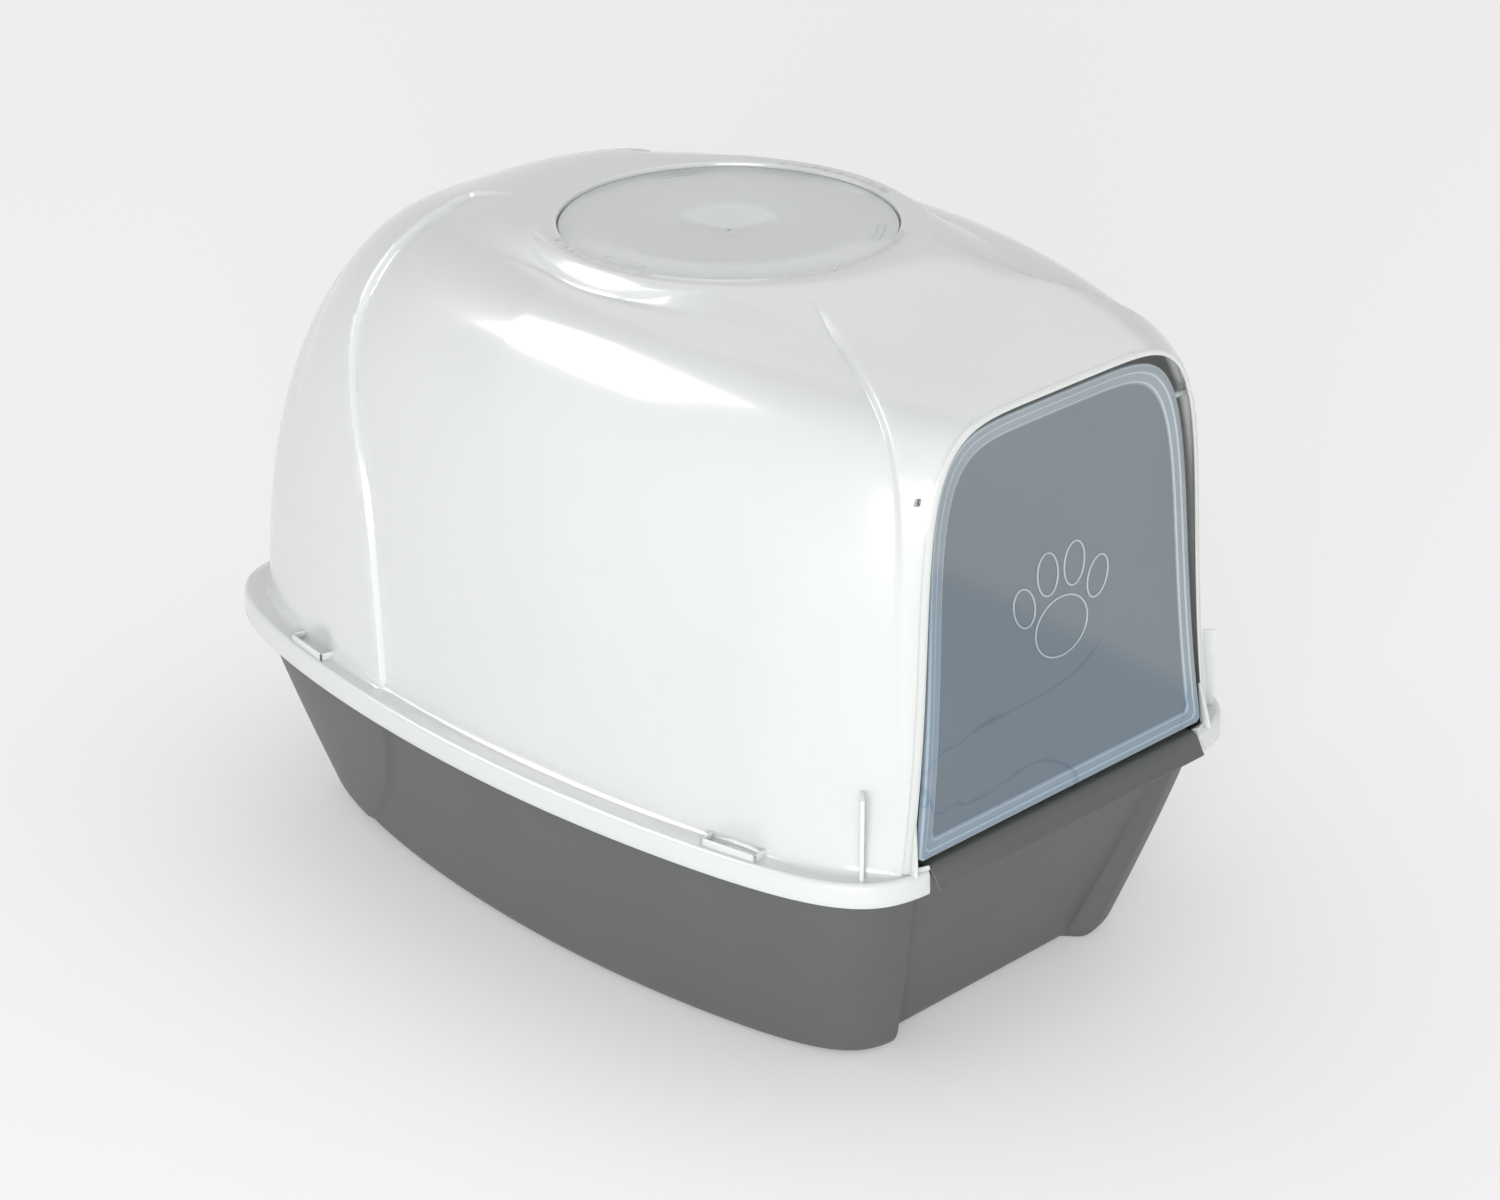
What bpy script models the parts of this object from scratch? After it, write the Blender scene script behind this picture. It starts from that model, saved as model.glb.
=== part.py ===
"""Hooded cat litter box: open tray, lift-off hood, swinging door flap, filter cover and carbon pad.

Frame: metres, +Z up, the door looks along -Y, the box is symmetric about X = 0, and the origin is
the bottom centre. The hood lifts off along +Z, the door swings about the line of its two pins, and
the filter cover and the pad below it lift out along +Z.
"""

import math

import bmesh
import bpy
from mathutils import Matrix, Vector

# Overall sizes
LENGTH = 0.546               # front of the tray's lip to the back of the hood's rim
WIDTH = 0.3686               # across the hood's rim
RIM_TOP = 0.1352             # top of the hood's rim above the floor
HOOD_RISE = 0.2545           # crown of the hood above its rim

# Walls
TRAY_WALL = 0.0025
HOOD_WALL = 0.0025

# Plan shape shared by the rim, the hood and the tray: bowed sides and square-round corners
PLAN_CENTRE_Y = -0.0024
BOW_CENTRE_Y = -0.0320
BOW_DEPTH = 0.03939             # how far each side draws in over half the length
RIM_POWER = 9.9              # how square the rim's corners are in front, and behind
RIM_POWER_REAR = 8.5
LIP_REACH = 0.0040           # the tray's lip stands this far in front of the hood's rim

# Hood
FLANGE_WIDTH = 0.0123        # rim that stands out around the hood's wall at the sides
FLANGE_WIDTH_REAR = 0.0125
FLANGE_THICKNESS = 0.0025
SKIRT_DROP = 0.0135          # the rim's skirt hangs this far below its top
SKIRT_WALL = 0.0020
RIM_EDGE_ROUND = 0.0012
RIM_OPENING_DEPTH = 0.0218      # the rim is cut away this far back for the tray's lip
HOOD_POWER = 7.0
HOOD_NOSE = 0.0058           # the full form runs this far in front of the rim, before it is cut
OPENING_INSET = 0.0070       # the opening's plane at the rim, behind the front of the rim
OPENING_LEAN = math.radians(1.3)
CREST_Y = 0.0070             # the hood's highest section
CREST_POWER = 3.6            # the hood's back, seen from the side
BROW_START_Y = -0.0630       # the crown starts to fall towards the door here
BROW_DROP = 0.02376             # fall of the crown from there to the door
SECTION_POWER_MIDDLE = 6.5   # how square the hood's arch is at the middle, at the back, at the door
SECTION_POWER_REAR = 2.6
SECTION_POWER_DOOR = 6.0
SECTION_REAR_SHARE = 0.7582     # of half the length, where the arch at the back is measured
WALL_LEAN_MIDDLE = 0.042     # share of its half width that the wall leans in, at the middle
WALL_LEAN_DOOR = 0.147
FORM_SEGMENTS = 72
FORM_RINGS = 36

# Filter seat in the hood's crown
SEAT_CENTRE_Y = -0.0177
RING_WIDTH = 0.0095             # outer edge of the ring outside the cover's edge
RING_RISE = 0.0063           # top of the ring above the crown
RING_SHOULDER = 0.0045       # round of the ring's outer edge
COVER_RADIUS = 0.0920
COVER_GAP = 0.0006
COVER_THICKNESS = 0.0022
COVER_SUNK = 0.0025          # top of the cover below the ring's top
PAD_INSET = 0.0190              # edge of the pad inside the cover's edge
PAD_THICKNESS = 0.0070
PAD_GAP = 0.0020             # around the pad
BASKET_DEPTH = 0.0115        # basket floor below the ledge that the cover lies on
SEAT_WALL = 0.0025
SEAT_APRON = 0.0150          # the ring's outer wall reaches this far down into the hood
SEAT_SEGMENTS = 72
VENT_COUNT = 5
VENT_WIDTH = 0.0060
VENT_PITCH = 0.0200
VENT_MARGIN = 0.0100            # solid basket floor left around the vents

# Snap legs under the cover
LEG_COUNT = 3
LEG_FIRST_ANGLE = math.radians(63.3)
LEG_LENGTH = 0.0240
LEG_WALL = 0.0018
LEG_DROP = 0.0070
LEG_INSET = 0.0075              # middle of a leg inside the cover's edge
LEG_SLOT_GAP = 0.0012

# Finger dimple in the cover
DIMPLE_RADIUS = 0.0295
DIMPLE_DEPTH = 0.0040
DIMPLE_STEPS = 6

# Door flap and its pins
AXIS_BEHIND_OPENING = 0.0048
AXIS_SHARE = 0.7772             # height of the pins, as a share of the hood's rise
DOOR_THICKNESS = 0.0018
DOOR_BORDER_THICKNESS = 0.0040
DOOR_BORDER = 0.0085
DOOR_GAP = 0.0042            # door edge to the hood's wall
DOOR_SILL_GAP = 0.0035       # door's bottom edge above the tray's lip
DOOR_LEAN = math.radians(3.0)
DOOR_CORNER = 0.0060
DOOR_OUTLINE_STEPS = 30
PIN_RADIUS = 0.0017
PIN_GAP = 0.0004
PIN_PAST_WALL = 0.0005       # the pins end this far outside the wall

# Tray
TRAY_TOP_GAP = 0.0003        # under the hood's flange
TRAY_RIM_THICKNESS = 0.0022
TRAY_SKIRT_GAP = 0.0008      # tray rim to the inside of the hood's skirt
TRAY_RIM_WIDTH = 0.0052
TRAY_BASE_NARROWER = 0.0400  # each side draws in this much from the top to the floor
TRAY_BASE_FRONT_IN = 0.0390
TRAY_BASE_REAR_IN = 0.0300
TRAY_BASE_BOW_DEPTH = 0.04903
TRAY_POWER = 10.0
TRAY_POWER_REAR = 8.3
TRAY_DRAFT_POWER = 1.15      # the walls draw in faster towards the floor
TRAY_FOOT_ROUND = 0.0090
TRAY_FLOOR = 0.0030
FRONT_PANEL_SHARE = 0.4232      # half width of the recessed panel between the two front posts
FRONT_PANEL_SHARE_TOP = 0.5426
FRONT_PANEL_BLEND = 0.0060
FRONT_PANEL_RECESS = 0.0170
FRONT_PANEL_RECESS_TOP = 0.0040
LIP_SHARE = 0.5887              # half length of the lip, as a share of the rim's half width
LIP_TOP = 0.1360
LIP_DROP = 0.0120
LIP_WALL = 0.0025
LIP_END_GAP = 0.0005
OUTLINE_POINTS = 120

# Small mouldings on the hood
RIB_SIZE = (0.0024, 0.0110, 0.0470)
RIB_SHARE = 0.7488
RIB_BEHIND_OPENING = 0.0150
RIB_TURN = math.radians(45.0)
GUARD_LENGTH = 0.0350
GUARD_DEPTH = 0.0100
GUARD_HEIGHT = 0.0045
GUARD_WALL = 0.0018
GUARD_FRONT_SHARE = -0.6593     # places of the guards along half the length
GUARD_REAR_SHARE = 0.5751

# Values worked out from the ones above
RIM_HALF = WIDTH / 2
RIM_REAR_Y = LENGTH / 2
RIM_FRONT_Y = LIP_REACH - LENGTH / 2
BOW_RADIUS = RIM_REAR_Y ** 2 / (2.0 * BOW_DEPTH)
TRAY_BASE_BOW_RADIUS = RIM_REAR_Y ** 2 / (2.0 * TRAY_BASE_BOW_DEPTH)
SECTION_REAR_Y = RIM_REAR_Y * SECTION_REAR_SHARE
LIP_HALF_WIDTH = RIM_HALF * LIP_SHARE
FRONT_PANEL_HALF = RIM_HALF * FRONT_PANEL_SHARE
FRONT_PANEL_HALF_TOP = RIM_HALF * FRONT_PANEL_SHARE_TOP
RIB_X = RIM_HALF * RIB_SHARE
GUARD_FRONT_Y = RIM_REAR_Y * GUARD_FRONT_SHARE
GUARD_REAR_Y = RIM_REAR_Y * GUARD_REAR_SHARE
RING_TOP = RIM_TOP + HOOD_RISE + RING_RISE
RING_RADIUS = COVER_RADIUS + RING_WIDTH
PAD_RADIUS = COVER_RADIUS - PAD_INSET
LEG_RADIUS = COVER_RADIUS - LEG_INSET
AXIS_ABOVE_RIM = HOOD_RISE * AXIS_SHARE
COVER_TOP = RING_TOP - COVER_SUNK
COVER_BOTTOM = COVER_TOP - COVER_THICKNESS
LEDGE_TOP = COVER_BOTTOM - 0.0003
BASKET_FLOOR = LEDGE_TOP - BASKET_DEPTH
BASKET_RADIUS = PAD_RADIUS + PAD_GAP
WELL_RADIUS = COVER_RADIUS + COVER_GAP
OPENING_Y = RIM_FRONT_Y + OPENING_INSET
AXIS_Z = RIM_TOP + AXIS_ABOVE_RIM
BROW_FALL = BROW_DROP / (BROW_START_Y - OPENING_Y) ** 2
AXIS_Y = OPENING_Y + math.tan(OPENING_LEAN) * AXIS_ABOVE_RIM + AXIS_BEHIND_OPENING
TRAY_TOP = RIM_TOP - FLANGE_THICKNESS - TRAY_TOP_GAP
TRAY_RIM_INSET = SKIRT_WALL + TRAY_SKIRT_GAP

PLAIN = {"tray_grey": ((0.150, 0.152, 0.148, 1.0), 0.42, 0.0, 1.0),
         "hood_white": ((0.780, 0.790, 0.770, 1.0), 0.22, 0.0, 1.0),
         "flap_smoke": ((0.230, 0.265, 0.300, 1.0), 0.12, 0.0, 0.6),
         "cover_white": ((0.770, 0.785, 0.765, 1.0), 0.26, 0.0, 1.0),
         "carbon_black": ((0.020, 0.020, 0.022, 1.0), 0.95, 0.0, 1.0)}


def clear_scene():
    for thing in list(bpy.data.objects):
        bpy.data.objects.remove(thing, do_unlink=True)


def new_collection(name):
    group = bpy.data.collections.new(name)
    bpy.context.scene.collection.children.link(group)
    return group


def plain_material(name):
    colour, roughness, metallic, alpha = PLAIN[name]
    material = bpy.data.materials.new(name)
    material.use_nodes = True
    shader = material.node_tree.nodes["Principled BSDF"]
    shader.inputs["Base Color"].default_value = colour
    shader.inputs["Roughness"].default_value = roughness
    shader.inputs["Metallic"].default_value = metallic
    shader.inputs["Alpha"].default_value = alpha
    return material


def object_from(mesh_builder, name, group, origin=(0.0, 0.0, 0.0)):
    """Turns a bmesh in world coordinates into an object whose origin is at the given point."""
    bmesh.ops.recalc_face_normals(mesh_builder, faces=mesh_builder.faces)
    bmesh.ops.translate(mesh_builder, verts=mesh_builder.verts, vec=-Vector(origin))
    mesh = bpy.data.meshes.new(name)
    mesh_builder.to_mesh(mesh)
    mesh_builder.free()
    thing = bpy.data.objects.new(name, mesh)
    thing.location = origin
    group.objects.link(thing)
    return thing


def as_cutter(thing):
    thing.hide_render = True
    thing.display_type = 'WIRE'
    return thing


def boolean(target, operand, operation):
    modifier = target.modifiers.new(operand.name, 'BOOLEAN')
    modifier.operation = operation
    modifier.object = operand
    modifier.solver = 'EXACT'


def smooth_step(value):
    value = min(max(value, 0.0), 1.0)
    return value * value * (3.0 - 2.0 * value)


def bowed_half_width(y, half_width, bow_radius):
    return half_width - (y - BOW_CENTRE_Y) ** 2 / (2.0 * bow_radius)


def outline(half_width, front_y, rear_y, powers, bow_radius=BOW_RADIUS):
    """Points around a plan outline with bowed sides; powers say how square its ends are."""
    power_front, power_rear = powers
    points = []
    for step in range(OUTLINE_POINTS):
        angle = 2.0 * math.pi * (step + 0.5) / OUTLINE_POINTS
        across, along = math.cos(angle), math.sin(angle)
        power = power_rear if along > 0.0 else power_front
        reach = (abs(across) ** power + abs(along) ** power) ** (-1.0 / power)
        end = rear_y if along > 0.0 else front_y
        y = PLAN_CENTRE_Y + abs(end - PLAN_CENTRE_Y) * reach * along
        x = bowed_half_width(y, half_width, bow_radius) * reach * across
        points.append((x, y))
    return points


def loft(rings, closed=False):
    """Joins rings of equal length; a closed loft is a tube around the rings, an open one is capped."""
    builder = bmesh.new()
    loops = [[builder.verts.new(point) for point in ring] for ring in rings]
    pairs = list(zip(loops, loops[1:]))
    if closed:
        pairs.append((loops[-1], loops[0]))
    for lower, upper in pairs:
        count = len(lower)
        for index in range(count):
            following = (index + 1) % count
            builder.faces.new((lower[index], lower[following], upper[following], upper[index]))
    if not closed:
        builder.faces.new(loops[0])
        builder.faces.new(loops[-1])
    return builder


def box(size, centre, turn=0.0):
    builder = bmesh.new()
    place = Matrix.Translation(centre) @ Matrix.Rotation(turn, 4, 'Z')
    matrix = place @ Matrix.Diagonal((*size, 1.0))
    bmesh.ops.create_cube(builder, size=1.0, matrix=matrix)
    return builder


def prism(points, low, high):
    """A plan polygon carried from one height to another."""
    builder = bmesh.new()
    face = builder.faces.new([builder.verts.new((x, y, low)) for x, y in points])
    grown = bmesh.ops.extrude_face_region(builder, geom=[face])
    verts = [item for item in grown["geom"] if isinstance(item, bmesh.types.BMVert)]
    bmesh.ops.translate(builder, verts=verts, vec=(0.0, 0.0, high - low))
    return builder


def shade(thing):
    thing.data.shade_smooth()
    thing.data.set_sharp_from_angle(angle=math.radians(32.0))


# Form of the hood

def hood_half_width(y, share_up):
    """Half width of the hood's outside at a place along it, and at a share of its height."""
    rear_y = RIM_REAR_Y - FLANGE_WIDTH_REAR
    front_y = RIM_FRONT_Y - HOOD_NOSE
    end = rear_y if y > PLAN_CENTRE_Y else front_y
    ratio = abs((y - PLAN_CENTRE_Y) / (end - PLAN_CENTRE_Y))
    if ratio >= 1.0:
        return 0.0
    corner = (1.0 - ratio ** HOOD_POWER) ** (1.0 / HOOD_POWER)
    towards_door = min(max(y / (OPENING_Y - PLAN_CENTRE_Y), 0.0), 1.1)
    lean = WALL_LEAN_MIDDLE + (WALL_LEAN_DOOR - WALL_LEAN_MIDDLE) * towards_door ** 2
    leaning = 1.0 - lean * (1.0 - (1.0 - share_up) ** 3)
    return bowed_half_width(y, RIM_HALF - FLANGE_WIDTH, BOW_RADIUS) * corner * leaning


def hood_crown(y):
    """Height of the hood's outside above its rim on the centre line."""
    rear_y = RIM_REAR_Y - FLANGE_WIDTH_REAR
    if y > CREST_Y:
        share = (y - CREST_Y) / (rear_y - CREST_Y)
        return HOOD_RISE * max(1.0 - share ** CREST_POWER, 0.0) ** (1.0 / CREST_POWER)
    return HOOD_RISE - BROW_FALL * max(BROW_START_Y - y, 0.0) ** 2


def hood_power(y):
    if y > 0.0:
        share = min(y / SECTION_REAR_Y, 1.0)
        return SECTION_POWER_MIDDLE + (SECTION_POWER_REAR - SECTION_POWER_MIDDLE) * share
    share = min(y / OPENING_Y, 1.0)
    return SECTION_POWER_MIDDLE + (SECTION_POWER_DOOR - SECTION_POWER_MIDDLE) * share


def outside_hood(x, y, z):
    """True where a point lies outside the hood's full form."""
    rise = max(z - RIM_TOP, 0.0)
    width = hood_half_width(y, min(rise / HOOD_RISE, 1.0))
    crown = hood_crown(y)
    if width < 1e-6 or crown < 1e-6:
        return True
    power = hood_power(y)
    return (abs(x) / width) ** power + (rise / crown) ** power > 1.0


def hood_side(y, z):
    """Half width of the hood's outside at one place along it and one height."""
    rise = z - RIM_TOP
    crown = hood_crown(y)
    if rise >= crown:
        return 0.0
    power = hood_power(y)
    share = (1.0 - (max(rise, 0.0) / crown) ** power) ** (1.0 / power)
    return hood_half_width(y, min(max(rise, 0.0) / HOOD_RISE, 1.0)) * share


def on_hood(direction):
    """Point where a ray from the middle of the hood's floor meets its outside."""
    start = Vector((0.0, PLAN_CENTRE_Y, RIM_TOP))
    near, far = 0.0, LENGTH
    for _ in range(40):
        middle = (near + far) / 2.0
        if outside_hood(*(start + direction * middle)):
            far = middle
        else:
            near = middle
    return start + direction * near


def opening_y(z):
    return OPENING_Y + math.tan(OPENING_LEAN) * (z - RIM_TOP)


# Hood

def hood_shell(group):
    builder = bmesh.new()
    bmesh.ops.create_uvsphere(builder, u_segments=FORM_SEGMENTS, v_segments=FORM_RINGS, radius=1.0)
    below = [vert for vert in builder.verts if vert.co.z < -1e-4]
    bmesh.ops.delete(builder, geom=below, context='VERTS')
    for vert in builder.verts:
        vert.co.z = max(vert.co.z, 0.0)
        vert.co = on_hood(vert.co.normalized())
    rim = [edge for edge in builder.edges if edge.is_boundary]
    grown = bmesh.ops.extrude_edge_only(builder, edges=rim)
    verts = [item for item in grown["geom"] if isinstance(item, bmesh.types.BMVert)]
    bmesh.ops.translate(builder, verts=verts, vec=(0.0, 0.0, -FLANGE_THICKNESS / 2.0))
    facing = Vector((0.0, -math.cos(OPENING_LEAN), math.sin(OPENING_LEAN)))
    everything = builder.verts[:] + builder.edges[:] + builder.faces[:]
    bmesh.ops.bisect_plane(builder, geom=everything, dist=1e-6, clear_outer=True,
                           plane_co=(0.0, OPENING_Y, RIM_TOP), plane_no=facing)
    hood = object_from(builder, "hood", group)
    wall = hood.modifiers.new("wall", 'SOLIDIFY')
    wall.thickness = HOOD_WALL
    wall.offset = -1.0
    return hood


def hood_rim(group):
    """Flat flange and hanging skirt around the hood, as one closed ring."""
    rim_rings = []
    under = RIM_TOP - FLANGE_THICKNESS
    inner = FLANGE_WIDTH + HOOD_WALL / 2.0
    inner_rear = FLANGE_WIDTH_REAR + HOOD_WALL / 2.0
    edge = RIM_EDGE_ROUND
    section = [(0.0, 0.0, RIM_TOP - SKIRT_DROP), (0.0, 0.0, RIM_TOP - edge), (edge, edge, RIM_TOP),
               (inner, inner_rear, RIM_TOP), (inner, inner_rear, under),
               (SKIRT_WALL, SKIRT_WALL, under), (SKIRT_WALL, SKIRT_WALL, RIM_TOP - SKIRT_DROP)]
    for inset, inset_rear, z in section:
        powers = (RIM_POWER, RIM_POWER_REAR) if inset < FLANGE_WIDTH else (HOOD_POWER, HOOD_POWER)
        front_inset = min(inset, 2.0 * SKIRT_WALL)
        ring = outline(RIM_HALF - inset, RIM_FRONT_Y + front_inset, RIM_REAR_Y - inset_rear, powers)
        rim_rings.append([(x, y, z) for x, y in ring])
    return as_cutter(object_from(loft(rim_rings, closed=True), "hood_rim_blank", group))


def lip_clearance(group):
    """Gap in the hood's rim that the tray's lip fills."""
    width = 2.0 * (LIP_HALF_WIDTH + LIP_END_GAP)
    depth = 0.060
    height = 2.0 * SKIRT_DROP + 0.010
    centre = (0.0, RIM_FRONT_Y + RIM_OPENING_DEPTH - depth / 2.0, RIM_TOP)
    return as_cutter(object_from(box((width, depth, height), centre), "lip_clearance", group))


def seat_body(group):
    """Turned ring, ledge and basket that the filter and its cover sit in."""
    mesh = bpy.data.meshes.new("filter_seat_blank")
    under_ring = RING_TOP - SEAT_WALL
    under_ledge = LEDGE_TOP - SEAT_WALL
    apron = RING_TOP - SEAT_APRON
    profile = [(0.0, BASKET_FLOOR), (BASKET_RADIUS, BASKET_FLOOR), (BASKET_RADIUS, LEDGE_TOP),
               (WELL_RADIUS, LEDGE_TOP), (WELL_RADIUS, RING_TOP), (RING_RADIUS - RING_SHOULDER, RING_TOP),
               (RING_RADIUS - 0.35 * RING_SHOULDER, RING_TOP - 0.25 * RING_SHOULDER),
               (RING_RADIUS, RING_TOP - RING_SHOULDER), (RING_RADIUS, apron), (RING_RADIUS - SEAT_WALL, apron),
               (RING_RADIUS - SEAT_WALL, RING_TOP - 1.3 * RING_SHOULDER),
               (RING_RADIUS - RING_SHOULDER, under_ring), (WELL_RADIUS + SEAT_WALL, under_ring),
               (WELL_RADIUS + SEAT_WALL, under_ledge), (BASKET_RADIUS + SEAT_WALL, under_ledge),
               (BASKET_RADIUS + SEAT_WALL, BASKET_FLOOR - SEAT_WALL), (0.0, BASKET_FLOOR - SEAT_WALL)]
    builder = bmesh.new()
    verts = [builder.verts.new((radius, 0.0, z)) for radius, z in profile]
    for first, second in zip(verts, verts[1:]):
        builder.edges.new((first, second))
    builder.to_mesh(mesh)
    builder.free()
    seat = bpy.data.objects.new("filter_seat_blank", mesh)
    seat.location = (0.0, SEAT_CENTRE_Y, 0.0)
    group.objects.link(seat)
    turn = seat.modifiers.new("turn", 'SCREW')
    turn.steps = SEAT_SEGMENTS
    turn.render_steps = SEAT_SEGMENTS
    turn.use_merge_vertices = True
    turn.merge_threshold = 0.00005
    turn.use_smooth_shade = False
    return as_cutter(seat)


def cylinder(radius, low, high, centre, segments, group, name):
    builder = bmesh.new()
    place = Matrix.Translation((centre[0], centre[1], (low + high) / 2.0))
    bmesh.ops.create_cone(builder, cap_ends=True, segments=segments, radius1=radius, radius2=radius,
                          depth=high - low, matrix=place)
    return object_from(builder, name, group)


def crown_hole(group):
    """Hole in the crown that the seat fills."""
    hole = cylinder(RING_RADIUS - SEAT_WALL / 2.0, RING_TOP - 0.040, RING_TOP + 0.020,
                    (0.0, SEAT_CENTRE_Y), SEAT_SEGMENTS, group, "crown_hole")
    return as_cutter(hole)


def vent(index, group):
    """One air slot through the basket's floor."""
    offset = (index - (VENT_COUNT - 1) / 2.0) * VENT_PITCH
    half_chord = math.sqrt((BASKET_RADIUS - VENT_MARGIN) ** 2 - offset ** 2)
    size = (2.0 * half_chord, VENT_WIDTH, 4.0 * SEAT_WALL)
    centre = (0.0, SEAT_CENTRE_Y + offset, BASKET_FLOOR - SEAT_WALL / 2.0)
    return as_cutter(object_from(box(size, centre), f"vent_{index}", group))


def leg_angle(index):
    return LEG_FIRST_ANGLE + index * 2.0 * math.pi / LEG_COUNT


def leg_centre(index, z):
    angle = leg_angle(index)
    return (LEG_RADIUS * math.cos(angle), SEAT_CENTRE_Y + LEG_RADIUS * math.sin(angle), z)


def leg_slot(index, group):
    """Slot in the seat's ledge that one snap leg drops into."""
    size = (LEG_WALL + 2.0 * LEG_SLOT_GAP, LEG_LENGTH + 2.0 * LEG_SLOT_GAP, 6.0 * SEAT_WALL)
    cutter = box(size, leg_centre(index, LEDGE_TOP - SEAT_WALL / 2.0), leg_angle(index))
    return as_cutter(object_from(cutter, f"leg_slot_{index}", group))


def pin_bore(group):
    """One bore across both walls for the door's pins."""
    builder = bmesh.new()
    place = Matrix.Translation((0.0, AXIS_Y, AXIS_Z)) @ Matrix.Rotation(math.pi / 2.0, 4, 'Y')
    bmesh.ops.create_cone(builder, cap_ends=True, segments=24, radius1=PIN_RADIUS + PIN_GAP,
                          radius2=PIN_RADIUS + PIN_GAP, depth=WIDTH, matrix=place)
    return as_cutter(object_from(builder, "pin_bore", group))


def corner_rib(side, group):
    """Upright rib on the hood's front corner, just above the rim."""
    thickness, depth, height = RIB_SIZE
    y = OPENING_Y + RIB_BEHIND_OPENING
    centre = (side * RIB_X, y, RIM_TOP + height / 2.0 - FLANGE_THICKNESS / 2.0)
    rib = box((thickness, depth, height), centre, side * RIB_TURN)
    name = "rib_left" if side < 0 else "rib_right"
    return as_cutter(object_from(rib, name, group))


def rim_guard(side, y, name, group):
    """Low U-shaped wall on the rim, open towards the hood's wall."""
    wall_x = hood_side(y, RIM_TOP + GUARD_HEIGHT)
    slope = math.atan2(y - BOW_CENTRE_Y, BOW_RADIUS)
    inner, outer = -0.0015, GUARD_DEPTH
    half = GUARD_LENGTH / 2.0
    shape = [(inner, -half), (outer, -half), (outer, half), (inner, half),
             (inner, half - GUARD_WALL), (outer - GUARD_WALL, half - GUARD_WALL),
             (outer - GUARD_WALL, GUARD_WALL - half), (inner, GUARD_WALL - half)]
    points = []
    for out, along in shape:
        x = wall_x + out * math.cos(slope) - along * math.sin(slope)
        points.append((side * x, y + out * math.sin(slope) + along * math.cos(slope)))
    low = RIM_TOP - FLANGE_THICKNESS / 2.0
    return as_cutter(object_from(prism(points, low, RIM_TOP + GUARD_HEIGHT), name, group))


def build_hood(parts, cutters):
    hood = hood_shell(parts)
    boolean(hood, crown_hole(cutters), 'DIFFERENCE')
    boolean(hood, seat_body(cutters), 'UNION')
    boolean(hood, hood_rim(cutters), 'UNION')
    boolean(hood, lip_clearance(cutters), 'DIFFERENCE')
    for side in (-1, 1):
        word = "left" if side < 0 else "right"
        boolean(hood, corner_rib(side, cutters), 'UNION')
        boolean(hood, rim_guard(side, GUARD_FRONT_Y, f"guard_front_{word}", cutters), 'UNION')
        boolean(hood, rim_guard(side, GUARD_REAR_Y, f"guard_rear_{word}", cutters), 'UNION')
    for index in range(VENT_COUNT):
        boolean(hood, vent(index, cutters), 'DIFFERENCE')
    for index in range(LEG_COUNT):
        boolean(hood, leg_slot(index, cutters), 'DIFFERENCE')
    boolean(hood, pin_bore(cutters), 'DIFFERENCE')
    hood.data.materials.append(plain_material("hood_white"))
    shade(hood)


# Tray

def tray_ring(z, inset=0.0):
    """Outline of the tray at a height, moved in from its outer wall by an inset."""
    share = min(max((TRAY_TOP - z) / TRAY_TOP, 0.0), 1.0) ** TRAY_DRAFT_POWER
    top_inset = TRAY_RIM_INSET + TRAY_RIM_WIDTH
    half = RIM_HALF - top_inset - TRAY_BASE_NARROWER * share - inset
    front = RIM_FRONT_Y + top_inset + TRAY_BASE_FRONT_IN * share + inset
    rear = RIM_REAR_Y - top_inset - TRAY_BASE_REAR_IN * share - inset
    bow = 1.0 / (share / TRAY_BASE_BOW_RADIUS + (1.0 - share) / BOW_RADIUS)
    recess = FRONT_PANEL_RECESS * share + FRONT_PANEL_RECESS_TOP * (1.0 - share)
    ring = []
    panel_half = FRONT_PANEL_HALF * share + FRONT_PANEL_HALF_TOP * (1.0 - share)
    for x, y in outline(half, front, rear, (TRAY_POWER, TRAY_POWER_REAR), bow):
        if y < PLAN_CENTRE_Y:
            y += recess * smooth_step((panel_half + FRONT_PANEL_BLEND - abs(x)) / FRONT_PANEL_BLEND)
        ring.append((x, y, z))
    return ring


def tray_rim_ring(z):
    inset = TRAY_RIM_INSET
    powers = (RIM_POWER, RIM_POWER_REAR)
    ring = outline(RIM_HALF - inset, RIM_FRONT_Y + inset, RIM_REAR_Y - inset, powers)
    return [(x, y, z) for x, y in ring]


def tray_walls(group):
    """Drafted wall, outer rim and floor as one loft: up the outside, over the rim, down the inside."""
    foot = TRAY_FOOT_ROUND
    outer = [tray_ring(0.0, foot * 0.55), tray_ring(foot * 0.15, foot * 0.28),
             tray_ring(foot * 0.5, foot * 0.08), tray_ring(foot)]
    under_rim = TRAY_TOP - TRAY_RIM_THICKNESS
    outer += [tray_ring(TRAY_TOP * share) for share in (0.35, 0.65)]
    outer += [tray_ring(under_rim), tray_rim_ring(under_rim), tray_rim_ring(TRAY_TOP)]
    inner = [tray_ring(TRAY_TOP, TRAY_WALL)]
    inner += [tray_ring(TRAY_TOP * share, TRAY_WALL) for share in (0.65, 0.35)]
    inner += [tray_ring(foot, TRAY_WALL), tray_ring(TRAY_FLOOR + foot * 0.2, TRAY_WALL + foot * 0.15),
              tray_ring(TRAY_FLOOR, TRAY_WALL + foot * 0.5)]
    return object_from(loft(outer + inner), "base_tray", group)


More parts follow.
